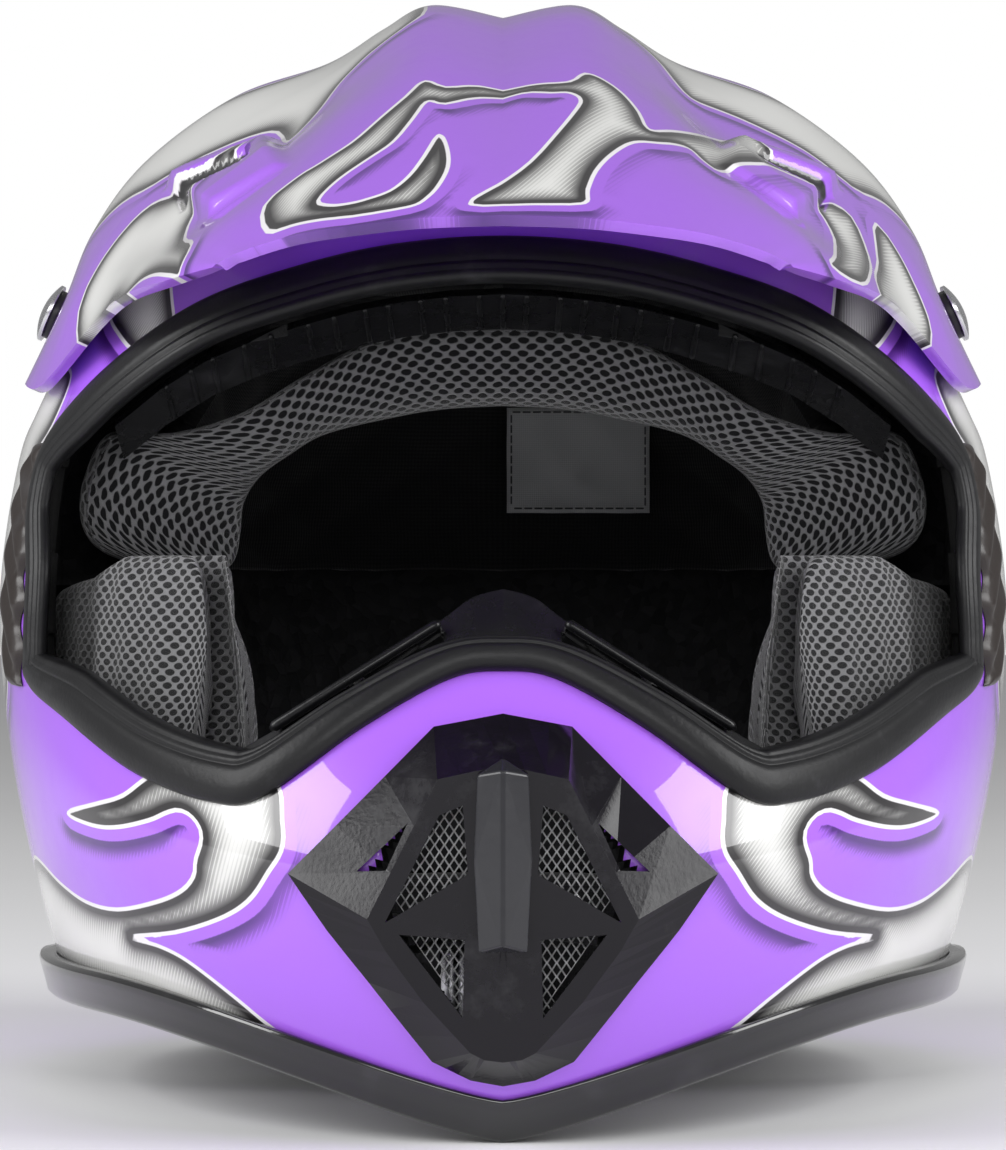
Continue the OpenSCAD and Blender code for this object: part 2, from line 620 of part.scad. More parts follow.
module cheek_pad_left() { mirror([1, 0, 0]) cheek_pad_right(); }
// The two press studs of a cheek pad, seated on the inner face of its core
snap_columns = [2, 4];
snap_z = 100;
function core_point(i, z) = [core_face(i, z), cheek_y[i], z];
module snap_places() {
    for (i = snap_columns) let (
        along = core_point(i + 1, snap_z) - core_point(i - 1, snap_z),
        up = core_point(i, snap_z + 8) - core_point(i, snap_z - 8),
        out = unit(cross(along, up)))
        translate(core_point(i, snap_z)) rotate([0, acos(out.z), atan2(out.y, out.x)]) children();
}
module neck_roll() {
    angles = [104:8:256];
    function low_z(a) = max(0, 11 * pow(abs(cos(a / 2)) / cos(52), 2) - 2);
    function grid(d0, d1) = [for (s = [0:0.25:1]) [for (a = angles)
        at(a, low_z(a) + s * (44 - low_z(a)), d0 + (d1 - d0) * sin(180 * s))]];
    color("gray") slab(grid(18, 15.5), grid(32, 40));
}
module liner_snaps() {
    color("black") pair() snap_places() {
        translate([0, 0, -3.2]) cylinder(h = 2, r = 6, $fn = 48);
        translate([0, 0, -1.2]) cylinder(h = 4.2, r = 2.4, $fn = 48);
    }
}
module care_label() {
    color("gainsboro") translate([1, 98.2, 141]) cube([38, 0.6, 28]);
}

// ---------- chin strap ----------
module ribbon(stations) {
    // Each station is a centre point and the direction of the webbing's width
    m = len(stations) - 1;
    function tangent(i) = unit(stations[min(m, i + 1)][0] - stations[max(0, i - 1)][0]);
    function point(i, v, t) = let (s = stations[i], w = unit(s[1]))
        s[0] + v * w + t * unit(cross(tangent(i), w));
    h = strap_w / 2;
    slab([for (v = [-h, h]) [for (i = [0:m]) point(i, v, strap_t / 2)]],
        [for (v = [-h, h]) [for (i = [0:m]) point(i, v, -strap_t / 2)]]);
}
anchor = [99, 57, 46];
function steps(pts, ways, k) = let (p = smooth(pts, k), w = smooth(ways, k))
    [for (i = [0:len(p) - 1]) [p[i], w[i]]];
right_route = [anchor + [0, 2, 8], [96, 51, 38.5], [87.5, 33, 30.5], [68, 4, 31.5], [34, -20, 36],
    [-12, -24, 41.5], [-46, -22, 41]];
right_ways = [[0, 1, -0.6], [0, 1, -0.7], [0.35, 1, -0.3], [0.5, 1, 0], [0.15, 1, 0],
    [0, 1, 0], [0, 1, 0]];
left_route = [anchor + [0, 2, 8], [96, 51, 38.5], [87.5, 33, 30.5], [68, 4, 31.5], [42, -18, 33],
    [17.5, -22, 34]];
left_ways = [for (i = [0:5]) right_ways[i]];
ring_z = 34;
ring_y = -22;
ring_x = -11;
ring_gap = 2.1;
module chin_strap_right() {
    color("dimgray") ribbon(steps(right_route, right_ways, 3));
}
module chin_strap_left() {
    loop_in = ring_wire_r + 0.25;
    loop_out = loop_in + strap_t;
    color("dimgray") resize([0, 0, 0]) difference() {
        union() {
            mirror([1, 0, 0]) ribbon(steps(left_route, left_ways, 3));
            translate([ring_x, ring_y, ring_z]) rotate([90, 0, 0])
                linear_extrude(strap_w, center = true) hull() {
                    for (s = [-1, 1]) translate([s * ring_gap, 0]) circle(r = loop_out, $fn = 32);
                    translate([-8.5, 0]) circle(r = strap_t / 2, $fn = 16);
                }
        }
        translate([ring_x, ring_y, ring_z]) rotate([90, 0, 0])
            linear_extrude(strap_w + 2, center = true) hull()
                for (s = [-1, 1]) translate([s * ring_gap, 0]) circle(r = loop_in, $fn = 32);
    }
}
module d_ring(x) {
    bar = strap_w / 2 + 2.4;
    drop = 5;
    translate([x, ring_y, ring_z]) {
        rotate([90, 0, 0]) cylinder(h = 2 * bar, r = ring_wire_r, center = true, $fn = 40);
        for (s = [-1, 1]) translate([0, s * bar, 0]) {
            sphere(r = ring_wire_r, $fn = 40);
            translate([0, 0, -drop]) cylinder(h = drop, r = ring_wire_r, $fn = 40);
        }
        translate([0, 0, -drop]) rotate([90, 0, 90]) rotate([0, 0, 180])
            rotate_extrude(angle = 180, $fn = 64) translate([bar, 0])
                circle(r = ring_wire_r, $fn = 40);
    }
}
module d_ring_inner() { color("silver") d_ring(ring_x - ring_gap); }
module d_ring_outer() { color("gainsboro") d_ring(ring_x + ring_gap); }
module strap_snap_stud() {
    color("silver") translate([-36, -22, 35.6]) {
        cylinder(h = 1, r = 5.5, $fn = 48);
        cylinder(h = 2.4, r = 2.4, $fn = 48);
    }
}
module strap_snap_cap() {
    color("black") translate([-36, -22, 42.6]) cylinder(h = 1.6, r = 6.5, $fn = 48);
}
anchor_turn = atan((side_x(anchor.y - 1, anchor.z) - side_x(anchor.y + 1, anchor.z)) / 2);
module rivet_place() {
    translate([side_x(anchor.y, anchor.z), anchor.y, anchor.z])
        rotate([0, 0, anchor_turn]) rotate([0, 97, 0]) children();
}
module strap_anchor_plates() {
    color("silver") pair() rivet_place() translate([0, 0, -shell_t - 3.4]) difference() {
        translate([-8, -12, 0]) cube([16, 24, 1.6]);
        translate([0, 0, -1]) cylinder(h = 4, r = 3.1, $fn = 48);
    }
}
module strap_rivets() {
    color("silver") pair() rivet_place() {
        translate([0, 0, -8.9]) cylinder(h = 9.8, r = 3, $fn = 48);
        translate([0, 0, 0.8]) intersection() {
            cylinder(h = 2.2, r = 6.5, $fn = 64);
            translate([0, 0, 2.2 - dome_r(6.5, 2.2)]) sphere(r = dome_r(6.5, 2.2), $fn = 96);
        }
    }
}

outer_shell();
eps_liner();
chin_bar_foam();
eyeport_gasket();
nose_guard();
brow_vent_strip();
side_grip_left();
side_grip_right();
base_trim();
visor();
visor_screw_left();
visor_screw_right();
visor_screw_top();
visor_washer_left();
visor_washer_right();
visor_washer_top();
visor_inserts();
mouth_vent_cover();
mouth_vent_spine();
mouth_vent_mesh();
rear_vent_grilles();
crown_liner();
forehead_pad();
cheek_pad_left();
cheek_pad_right();
cheek_core_left();
cheek_core_right();
neck_roll();
liner_snaps();
care_label();
chin_strap_left();
chin_strap_right();
strap_anchor_plates();
strap_rivets();
d_ring_inner();
d_ring_outer();
strap_snap_stud();
strap_snap_cap();
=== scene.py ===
import math
import bpy
import numpy as np
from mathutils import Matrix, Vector


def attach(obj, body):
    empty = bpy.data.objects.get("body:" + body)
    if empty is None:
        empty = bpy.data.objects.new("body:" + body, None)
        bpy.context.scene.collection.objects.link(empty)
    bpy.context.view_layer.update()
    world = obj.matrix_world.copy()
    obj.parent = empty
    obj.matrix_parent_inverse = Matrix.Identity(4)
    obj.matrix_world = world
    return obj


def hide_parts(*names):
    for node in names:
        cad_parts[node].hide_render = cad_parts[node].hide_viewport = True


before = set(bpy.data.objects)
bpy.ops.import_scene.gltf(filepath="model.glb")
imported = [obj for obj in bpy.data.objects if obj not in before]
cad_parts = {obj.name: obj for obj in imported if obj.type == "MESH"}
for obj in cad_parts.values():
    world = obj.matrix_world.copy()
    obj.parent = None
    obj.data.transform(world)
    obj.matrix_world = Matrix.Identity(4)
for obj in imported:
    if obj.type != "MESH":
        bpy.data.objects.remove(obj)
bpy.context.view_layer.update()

MM = 0.001

# ---------------------------------------------------------------- the stand
# The helmet stands on a pale sweep in a white room. The camera is level with the mouth
# vent, straight in front, far enough off that the peak and the chin keep their real sizes.
camera = bpy.data.objects.new("camera", bpy.data.cameras.new("camera"))
bpy.context.scene.collection.objects.link(camera)
bpy.context.scene.camera = camera
camera.location = (0, -1.12, 0.1245)
camera.rotation_euler = (math.radians(90), 0, 0)
camera.data.lens = 143.3
camera.data.clip_end = 50
bpy.context.scene.view_settings.view_transform = "Standard"

room = bpy.data.worlds.new("room")
bpy.context.scene.world = room
room.use_nodes = True
room_tree = room.node_tree
room_light = room_tree.nodes["Background"]
room_light.inputs["Color"].default_value = (1, 1, 1, 1)
seen = room_tree.nodes.new("ShaderNodeLightPath")
strength = room_tree.nodes.new("ShaderNodeMapRange")
strength.inputs["To Min"].default_value = 0.30
strength.inputs["To Max"].default_value = 1.0
room_tree.links.new(seen.outputs["Is Camera Ray"], strength.inputs["Value"])
room_tree.links.new(strength.outputs["Result"], room_light.inputs["Strength"])


def softbox(name, place, aim, size, watts):
    lamp = bpy.data.lights.new(name, "AREA")
    lamp.shape = "RECTANGLE"
    lamp.size, lamp.size_y = size
    lamp.energy = watts
    stand = bpy.data.objects.new(name, lamp)
    bpy.context.scene.collection.objects.link(stand)
    stand.location = place
    stand.rotation_euler = (Vector(aim) - Vector(place)).to_track_quat("-Z", "Y").to_euler()


softbox("light_left", (-1.3, -0.5, 0.75), (0, 0, 0.12), (0.7, 1.1), 17)
softbox("light_right", (1.3, -0.5, 0.75), (0, 0, 0.12), (0.7, 1.1), 17)
softbox("light_front", (0, -1.7, 0.75), (0, 0, 0.12), (1.3, 0.45), 9)


def material(name, **settings):
    """A Principled material; the settings are its own sockets, with _ for a space."""
    made = bpy.data.materials.new(name)
    made.use_nodes = True
    surface = made.node_tree.nodes["Principled BSDF"]
    for socket, value in settings.items():
        surface.inputs[socket.replace("_", " ")].default_value = value
    return made


def add(mat, kind, **sockets):
    """A new node in the material or group; a value that is a socket is linked, the rest are set."""
    tree = getattr(mat, "node_tree", mat)
    node = tree.nodes.new(kind)
    for key, value in sockets.items():
        if hasattr(node, key):
            setattr(node, key, value)
            continue
        into = node.inputs[int(key[1:])] if key[0] == "i" and key[1:].isdigit() else node.inputs[key]
        if isinstance(value, bpy.types.NodeSocket):
            tree.links.new(value, into)
        else:
            into.default_value = value
    return node


def feed(mat, socket, value):
    mat.node_tree.links.new(value, mat.node_tree.nodes["Principled BSDF"].inputs[socket])


def maths(mat, what, a, b=0.0, clamp=False):
    return add(mat, "ShaderNodeMath", operation=what, use_clamp=clamp, i0=a, i1=b).outputs[0]


def ramp(mat, value, low, high, out_low=0.0, out_high=1.0):
    """Smooth step of value from low to high."""
    node = add(mat, "ShaderNodeMapRange", interpolation_type="SMOOTHSTEP", i0=value, i1=low,
        i2=high, i3=out_low, i4=out_high)
    return node.outputs[0]


def blend_colour(mat, amount, a, b):
    node = add(mat, "ShaderNodeMix", data_type="RGBA", i0=amount, i6=a, i7=b)
    return node.outputs[2]


def start_group(name, inputs, outputs):
    """A shader node group with named sockets; returns it, its input node and its output node."""
    group = bpy.data.node_groups.new(name, "ShaderNodeTree")
    for socket, kind, value in inputs:
        made = group.interface.new_socket(socket, in_out="INPUT", socket_type=kind)
        made.default_value = value
    for socket, kind in outputs:
        group.interface.new_socket(socket, in_out="OUTPUT", socket_type=kind)
    return group, group.nodes.new("NodeGroupInput"), group.nodes.new("NodeGroupOutput")


def place_group(mat, group, **sockets):
    node = mat.node_tree.nodes.new("ShaderNodeGroup")
    node.node_tree = group
    for key, value in sockets.items():
        into = node.inputs[key.replace("_", " ")]
        if isinstance(value, bpy.types.NodeSocket):
            mat.node_tree.links.new(value, into)
        else:
            into.default_value = value
    return node


sweep_paint = material("sweep_paint", Base_Color=(0.86, 0.86, 0.87, 1), Roughness=0.75)
sweep_grain = add(sweep_paint, "ShaderNodeTexNoise", Scale=40.0, Detail=3.0)
feed(sweep_paint, "Base Color", blend_colour(sweep_paint, sweep_grain.outputs[0],
    (0.88, 0.88, 0.89, 1), (0.92, 0.92, 0.93, 1)))
floor_mesh = bpy.data.meshes.new("sweep")
floor_mesh.from_pydata([(-6, -6, 0), (6, -6, 0), (6, 6, 0), (-6, 6, 0)], [], [(0, 1, 2, 3)])
sweep = bpy.data.objects.new("sweep", floor_mesh)
bpy.context.scene.collection.objects.link(sweep)
floor_mesh.materials.append(sweep_paint)

# ---------------------------------------------------------------- outer shell
# Moulded plastic shell, 4 mm thick, made in one piece and painted: purple ground, white
# flames shaded with fine printed lines, and a clear coat over all of it.
half_wide = 125.5
widest_z = 115.0
crown_z = 246.0
front_reach = 139.0
back_reach = 130.0
centre_y = 30.0
shell_t = 4.0
# A distance that counts as nowhere near an outline
far_outside = -50.0


def high(z, d):
    return np.clip((z - widest_z) / (crown_z - d - widest_z), 0, 1)


def half_w(z, d=0):
    return (half_wide - d) * (1 - high(z, d) ** 1.6) ** 0.27 - 20 * (
        np.maximum(0, widest_z - z) / 100) ** 1.7


def front_r(z, d=0):
    bulge = 40 * np.exp(-((z - 55) / np.where(z > 55, 43, 60)) ** 2)
    drawn_in = 10 * (np.maximum(0, widest_z - z) / 100) ** 1.6
    return (front_reach - d) * (1 - high(z, d) ** 2) ** 0.47 - drawn_in + bulge


def back_r(z, d=0):
    drawn_in = 22 * (np.maximum(0, widest_z - z) / 100) ** 1.6
    return (back_reach - d) * (1 - high(z, d) ** 2.1) ** 0.45 - drawn_in


def oval(z):
    return 1.8 + 0.6 * np.clip((z - 50) / 100, 0, 1)


def recess(y, z):
    """The flat that each ear of the peak lies in."""
    return 6 * np.exp(-(((y - 10) / 26) ** 2 + ((z - 187.5) / 22) ** 2) ** 2)


def at(angle, z, d=0):
    """Point of the shell at an angle in degrees from the front, a height, and a depth inside."""
    a = np.radians(angle)
    c, s = np.cos(a), np.sin(a)
    y = centre_y + np.where(c > 0, -front_r(z, d), back_r(z, d)) * abs(c)
    x = half_w(z, d) * abs(s) ** (2 / oval(z))
    return np.stack(np.broadcast_arrays(np.sign(s) * (x - recess(y, z)), y, z), -1)


def side_x(y, z, d=0):
    reach = np.where(y < centre_y, front_r(z, d), back_r(z, d))
    return half_w(z, d) * np.maximum(0, 1 - ((y - centre_y) / reach) ** 2) ** (
        1 / oval(z)) - recess(y, z)


def face_y(x, z, d=0):
    return centre_y - front_r(z, d) * np.sqrt(
        np.maximum(0, 1 - np.minimum(1, abs(x) / half_w(z, d)) ** oval(z)))


def rim(angle):
    """Height of the lower edge: low at the chin and the nape, up over the shoulders."""
    f = np.abs((np.asarray(angle, float) + 180) % 360 - 180)
    front = 23 * np.sin(np.radians(np.minimum(90, 1.55 * f))) ** 1.4
    return np.where(f < 58, front, 23 - 19 * ((f - 58) / 122) ** 2)


def smooth_curve(points, k, closed=False):
    """Catmull-Rom curve through the points, k steps between each two."""
    p = np.asarray(points, float)
    n = len(p)
    idx = np.arange(n if closed else n - 1)
    def pick(i):
        return p[i % n] if closed else p[np.clip(i, 0, n - 1)]
    q0, q1, q2, q3 = pick(idx - 1), pick(idx), pick(idx + 1), pick(idx + 2)
    t = (np.arange(k) / k).reshape([1, k] + [1] * (p.ndim - 1))
    q0, q1, q2, q3 = (q[:, None] for q in (q0, q1, q2, q3))
    out = 0.5 * (2 * q1 + (q2 - q0) * t + (2 * q0 - 5 * q1 + 4 * q2 - q3) * t ** 2
        + (3 * q1 - q0 - 3 * q2 + q3) * t ** 3)
    out = out.reshape([-1] + list(p.shape[1:]))
    return out if closed else np.concatenate([out, p[-1:]])


def signed_distance(u, v, outline):
    """Distance from the points (u, v) to a closed outline, positive inside it."""
    a = np.asarray(outline, float)
    b = np.roll(a, -1, axis=0)
    best = np.full(u.shape, 1e9)
    inside = np.zeros(u.shape, bool)
    for (ax, ay), (bx, by) in zip(a, b):
        ex, ey = bx - ax, by - ay
        t = np.clip(((u - ax) * ex + (v - ay) * ey) / max(ex * ex + ey * ey, 1e-9), 0, 1)
        best = np.minimum(best, (u - ax - t * ex) ** 2 + (v - ay - t * ey) ** 2)
        crosses = (ay > v) != (by > v)
        with np.errstate(divide="ignore", invalid="ignore"):
            inside ^= crosses & (u < ax + (v - ay) * ex / (ey if ey else 1e-9))
    return np.where(inside, 1, -1) * np.sqrt(best)


def mesh_object(name, points, faces, mat, smooth=True):
    """A piece from points in millimetres."""
    mesh = bpy.data.meshes.new(name)
    mesh.from_pydata([tuple(p) for p in np.asarray(points) * MM], [], faces)
    mesh.validate()
    mesh.shade_smooth() if smooth else mesh.shade_flat()
    mesh.materials.append(mat)
    piece = bpy.data.objects.new(name, mesh)
    bpy.context.scene.collection.objects.link(piece)
    return piece


def grid_faces(rows, cols, round_way=False, keep=None):
    """Quads of a grid of points; round_way joins the last column to the first."""
    last = cols if round_way else cols - 1
    i, j = np.meshgrid(np.arange(rows - 1), np.arange(last), indexing="ij")
    if keep is not None:
        i, j = i[keep], j[keep]
    i, j = i.ravel(), j.ravel()
    k = (j + 1) % cols
    return np.stack([i * cols + j, i * cols + k, (i + 1) * cols + k, (i + 1) * cols + j], 1).tolist()


def paint(piece, **layers):
    """Stores each layer as one value per point of the piece's mesh."""
    for name, values in layers.items():
        layer = piece.data.attributes.new(name, "FLOAT", "POINT")
        layer.data.foreach_set("value", np.asarray(values, np.float32).ravel())


def wear(piece, kind, **settings):
    """Adds a modifier to the piece."""
    added = piece.modifiers.new(kind.lower(), kind)
    for key, value in settings.items():
        setattr(added, key, value)
    return added


# The opening for the eyes: right half of the rubber band's outer edge, x and z
opening_half = [(0, 201), (24, 199.3), (46, 194.6), (70, 186.5), (92, 172), (106, 157),
    (110.8, 141), (110.6, 124), (111, 108), (110, 98.5), (100, 91), (82, 79.8), (64, 74.4),
    (52, 76), (31, 90.7), (12, 101.4), (0, 103.3)]
mouth_half = [(0, 84), (15, 80), (30, 60), (22, 44), (9, 26), (0, 24)]
rear_vents = [((42, 141.5, 178), 28, 21, 44), ((36, 143.5, 56), -14, 23, 36)]
grille_h = 13.0


def both_halves(half):
    return half + [(-x, z) for x, z in half[-2:0:-1]]


def vent_frame(vent):
    """Centre of a rear vent and its three directions: along, out, and up."""
    centre, tilt, turn = vent[:3]
    t, w = math.radians(tilt), -math.radians(turn)
    along = np.array([math.cos(w), math.sin(w), 0])
    out = np.array([-math.sin(w) * math.cos(t), math.cos(w) * math.cos(t), math.sin(t)])
    return np.array(centre, float), along, out, np.cross(along, out)


# White flames on one side of the shell: angle from the front in degrees, and height
shell_flames = [
    # the hook on the cheek, with its tail along the lower edge
    [(57.5, 69.5), (51, 72.3), (45.5, 74.8), (40, 80), (32, 84), (24.5, 80), (24.3, 71), (25, 65),
        (27.2, 60), (30.5, 53.5), (35.2, 48.7), (42, 44.7), (49.8, 42.3), (45.5, 41.2),
        (42, 39.3), (38.7, 35.9), (34.5, 30.4), (30.8, 25), (27, 20.5), (20, 14), (30, 12),
        (42, 20), (60, 28), (78, 31), (96, 34), (112, 44), (100, 47), (90, 52), (82, 50),
        (76, 56), (70.7, 56), (64.2, 52), (58, 48.9), (51.3, 48.4), (44, 51.3), (39.6, 54.4),
        (37.2, 58), (36.4, 61.6), (35.1, 65.5), (34.8, 68.5), (35.7, 71.3), (37.3, 72.4),
        (39.2, 71.6), (42, 69.7), (47.4, 67.6), (52.2, 67.4)],
    # the great flame from the temple back round the side
    [(60, 172), (68, 176), (80, 186), (92, 198), (106, 205), (122, 206), (136, 200), (126, 198),
        (116, 191), (110, 180), (118, 172), (132, 168), (148, 172), (160, 182), (155, 166),
        (143, 154), (128, 148), (112, 148), (100, 143), (92, 132), (90, 118), (96, 106),
        (108, 98), (124, 97), (138, 104), (147, 114), (146, 101), (136, 88), (120, 79),
        (104, 78), (90, 84), (80, 90), (74, 98), (71, 112), (70, 130), (68, 150), (62, 160)],
    # the lick over the brow
    [(38, 178), (42.7, 193.8), (48, 206), (60, 218), (78, 226), (98, 228), (84, 220), (70, 210),
        (60, 198), (55, 187), (50, 181), (44, 176)],
    # the flame that rises from the nape
    [(180, 60), (168, 66), (156, 76), (150, 90), (156, 104), (166, 112), (162, 100), (165, 88),
        (172, 80), (180, 77)],
]
shell_cols = 420
side_rows = 110
top_rows = 52
low_share = np.linspace(0, 1, side_rows)
crown_share = np.linspace(0.828, 0.012, top_rows + 1)[1:]
column_angle = np.arange(shell_cols) * 360 / shell_cols - 180
shoulder_z = widest_z + (crown_z - widest_z) * (1 - 0.828 ** (1 / 0.27)) ** (1 / 1.6)
shell_start = rim(column_angle) + 3.3
row_z = [shell_start + s * (shoulder_z - shell_start) for s in low_share]
row_z += [np.full(shell_cols, widest_z + (crown_z - widest_z) * (1 - r ** (1 / 0.27)) ** (1 / 1.6))
    for r in crown_share]
row_z = np.array(row_z)
row_angle = np.broadcast_to(column_angle, row_z.shape)
shell_points = at(row_angle, row_z)


def chart_distance(outlines, u, v, k=4):
    """Signed distance to the nearest of several outlines, as painted."""
    best = np.full(u.shape, -1e9)
    for outline in outlines:
        best = np.maximum(best, signed_distance(u, v, smooth_curve(outline, k, closed=True)))
    return best


deg = 2.0
chart_u = row_angle * deg
right_and_left = [[(a * deg * side, z) for a, z in f] for f in shell_flames for side in (1, -1)]
shell_flame = chart_distance(right_and_left, chart_u, row_z)
slope_z = np.gradient(shell_flame, axis=0) / np.maximum(np.gradient(row_z, axis=0), 0.05)
shell_under = np.clip(slope_z, 0, 1)
front_side = shell_points[:, :, 1] < 25
eye_outline = smooth_curve(both_halves(opening_half), 4, closed=True)
in_eyeport = np.where(front_side, signed_distance(shell_points[:, :, 0], row_z, eye_outline),
    far_outside)
mouth_outline = both_halves(mouth_half)
in_mouth = np.where(shell_points[:, :, 1] < -60,
    signed_distance(shell_points[:, :, 0], row_z, mouth_outline), far_outside)
# The rubber band overlaps the edge of the shell
band_overlap = 2.5
cut = np.maximum(in_eyeport - band_overlap, in_mouth)
for vent in rear_vents:
    for side in (1, -1):
        centre, along, out, up = vent_frame(vent)
        away = shell_points * [side, 1, 1] - centre
        along_d, out_d, up_d = away @ along, away @ out, away @ up
        box = np.minimum(vent[3] / 2 - abs(along_d), grille_h / 2 - abs(up_d))
        cut = np.maximum(cut, np.where(abs(out_d) < 25, box, far_outside))
quad_cut = (cut[:-1] + cut[1:]) / 2
quad_cut = (quad_cut + np.roll(quad_cut, -1, axis=1)) / 2
shell_faces = grid_faces(*row_z.shape, round_way=True, keep=quad_cut < 0)
top_row = (len(row_z) - 1) * shell_cols
shell_faces.append([top_row + j for j in range(shell_cols)])

shell_paint = material("shell_paint", Roughness=0.42, Coat_Weight=1.0, Coat_Roughness=0.03,
    Specular_IOR_Level=0.35)
shell = mesh_object("shell", shell_points.reshape(-1, 3), shell_faces, shell_paint)
paint(shell, inside_white=shell_flame, under=shell_under, across=chart_u, along=row_z)
shell_inside = material("shell_inside", Roughness=0.8, Specular_IOR_Level=0.1)
inside_grain = add(shell_inside, "ShaderNodeTexNoise", Scale=300.0, Detail=3.0)
feed(shell_inside, "Base Color", blend_colour(shell_inside, inside_grain.outputs[0],
    (0.004, 0.004, 0.004, 1), (0.012, 0.012, 0.012, 1)))
shell.data.materials.append(shell_inside)
wear(shell, "SOLIDIFY", thickness=shell_t * MM * 0.9, offset=-1.0, material_offset=1,
    material_offset_rim=1)
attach(shell, "helmet")
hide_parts("outer_shell")

# The printed artwork. Flame is the distance in millimetres inside the white; the printed
# shading is made of slanted lines that grow thinner away from the edge.
artwork, art_in, art_out = start_group("printed_flames", [
    ("Flame", "NodeSocketFloat", 0.0), ("Under", "NodeSocketFloat", 0.0),
    ("Across", "NodeSocketFloat", 0.0), ("Along", "NodeSocketFloat", 0.0),
    ("Pitch", "NodeSocketFloat", 0.9), ("Reach", "NodeSocketFloat", 11.0),
    ("Ground", "NodeSocketColor", (0.40, 0.13, 0.86, 1)),
    ("Shadow", "NodeSocketColor", (0.07, 0.012, 0.2, 1))],
    [("Color", "NodeSocketColor"), ("Line", "NodeSocketFloat")])
flame = art_in.outputs["Flame"]
slant = maths(artwork, "ADD", maths(artwork, "MULTIPLY", art_in.outputs["Across"], 0.87),
    maths(artwork, "MULTIPLY", art_in.outputs["Along"], -0.5))
turns = maths(artwork, "DIVIDE", slant, art_in.outputs["Pitch"])
stripe = maths(artwork, "PINGPONG", turns, 0.5)
stripe = maths(artwork, "MULTIPLY", stripe, 2.0)
depth = maths(artwork, "DIVIDE", maths(artwork, "SUBTRACT", flame, 0.8), art_in.outputs["Reach"])
fade = maths(artwork, "POWER", maths(artwork, "SUBTRACT", 1.0, depth, clamp=True), 2.0)
shade_lines = ramp(artwork, maths(artwork, "SUBTRACT", maths(artwork, "MULTIPLY", fade, 1.5), stripe),
    -0.12, 0.12)
darkness = maths(artwork, "ADD", maths(artwork, "MULTIPLY", fade, 0.45),
    maths(artwork, "MULTIPLY", shade_lines, maths(artwork, "MULTIPLY", fade, 0.75)), clamp=True)
white = blend_colour(artwork, darkness, (0.80, 0.80, 0.78, 1), (0.018, 0.016, 0.018, 1))
away = maths(artwork, "MULTIPLY", flame, -1.0)
band = maths(artwork, "MULTIPLY", ramp(artwork, away, 2.9, 3.3), ramp(artwork, away, 3.3, 9.0, 1.0, 0.0))
band = maths(artwork, "MULTIPLY", band, art_in.outputs["Under"])
band_lines = ramp(artwork, maths(artwork, "SUBTRACT", maths(artwork, "MULTIPLY", band, 1.6), stripe),
    -0.15, 0.15)
band = maths(artwork, "ADD", maths(artwork, "MULTIPLY", band, 0.5),
    maths(artwork, "MULTIPLY", band_lines, maths(artwork, "MULTIPLY", band, 0.6)), clamp=True)
ground = blend_colour(artwork, band, art_in.outputs["Ground"], art_in.outputs["Shadow"])
body = blend_colour(artwork, ramp(artwork, flame, 0.0, 0.3), ground, white)
line = maths(artwork, "MULTIPLY", ramp(artwork, flame, -0.55, -0.35),
    ramp(artwork, flame, 0.35, 0.6, 1.0, 0.0))
final = blend_colour(artwork, line, body, (0.87, 0.85, 0.88, 1))
artwork.links.new(final, art_out.inputs["Color"])
artwork.links.new(line, art_out.inputs["Line"])

# Clear coat: faint ripples from spraying, and fine dust nibs and rubbed patches in the gloss.
coat, coat_in, coat_out = start_group("clear_coat", [
    ("Ripple", "NodeSocketFloat", 1.0), ("Rub", "NodeSocketFloat", 1.0)],
    [("Height", "NodeSocketFloat"), ("Roughness", "NodeSocketFloat")])
spot = add(coat, "ShaderNodeTexCoord").outputs["Object"]
ripple = add(coat, "ShaderNodeTexNoise", Vector=spot, Scale=210.0, Detail=2.0).outputs[0]
nibs = ramp(coat, add(coat, "ShaderNodeTexNoise", Vector=spot, Scale=900.0, Detail=1.0).outputs[0],
    0.7, 0.8)
coat_height = maths(coat, "ADD", maths(coat, "MULTIPLY", ripple, coat_in.outputs["Ripple"]),
    maths(coat, "MULTIPLY", nibs, 0.6))
coat.links.new(coat_height, coat_out.inputs["Height"])
rubs = add(coat, "ShaderNodeTexNoise", Vector=spot, Scale=18.0, Detail=6.0, Roughness=0.65)
coat.links.new(ramp(coat, maths(coat, "MULTIPLY", rubs.outputs[0], coat_in.outputs["Rub"]), 0.45, 0.75,
    0.34, 0.5), coat_out.inputs["Roughness"])


def layer(mat, name):
    return add(mat, "ShaderNodeAttribute", attribute_name=name).outputs["Fac"]


def relief(mat, height, strength, distance):
    """Lets a height stand out of the material's surface."""
    bump = add(mat, "ShaderNodeBump", Strength=strength, Distance=distance, Height=height)
    feed(mat, "Normal", bump.outputs[0])


def finish_paint(mat, **values):
    """Gives a painted material its artwork and its clear coat."""
    art = place_group(mat, artwork, Flame=layer(mat, "inside_white"), Under=layer(mat, "under"),
        Across=layer(mat, "across"), Along=layer(mat, "along"), **values)
    feed(mat, "Base Color", art.outputs["Color"])
    gloss = place_group(mat, coat, Ripple=0.5)
    feed(mat, "Roughness", gloss.outputs["Roughness"])
    relief(mat, gloss.outputs["Height"], 0.12, 0.0002)


finish_paint(shell_paint)

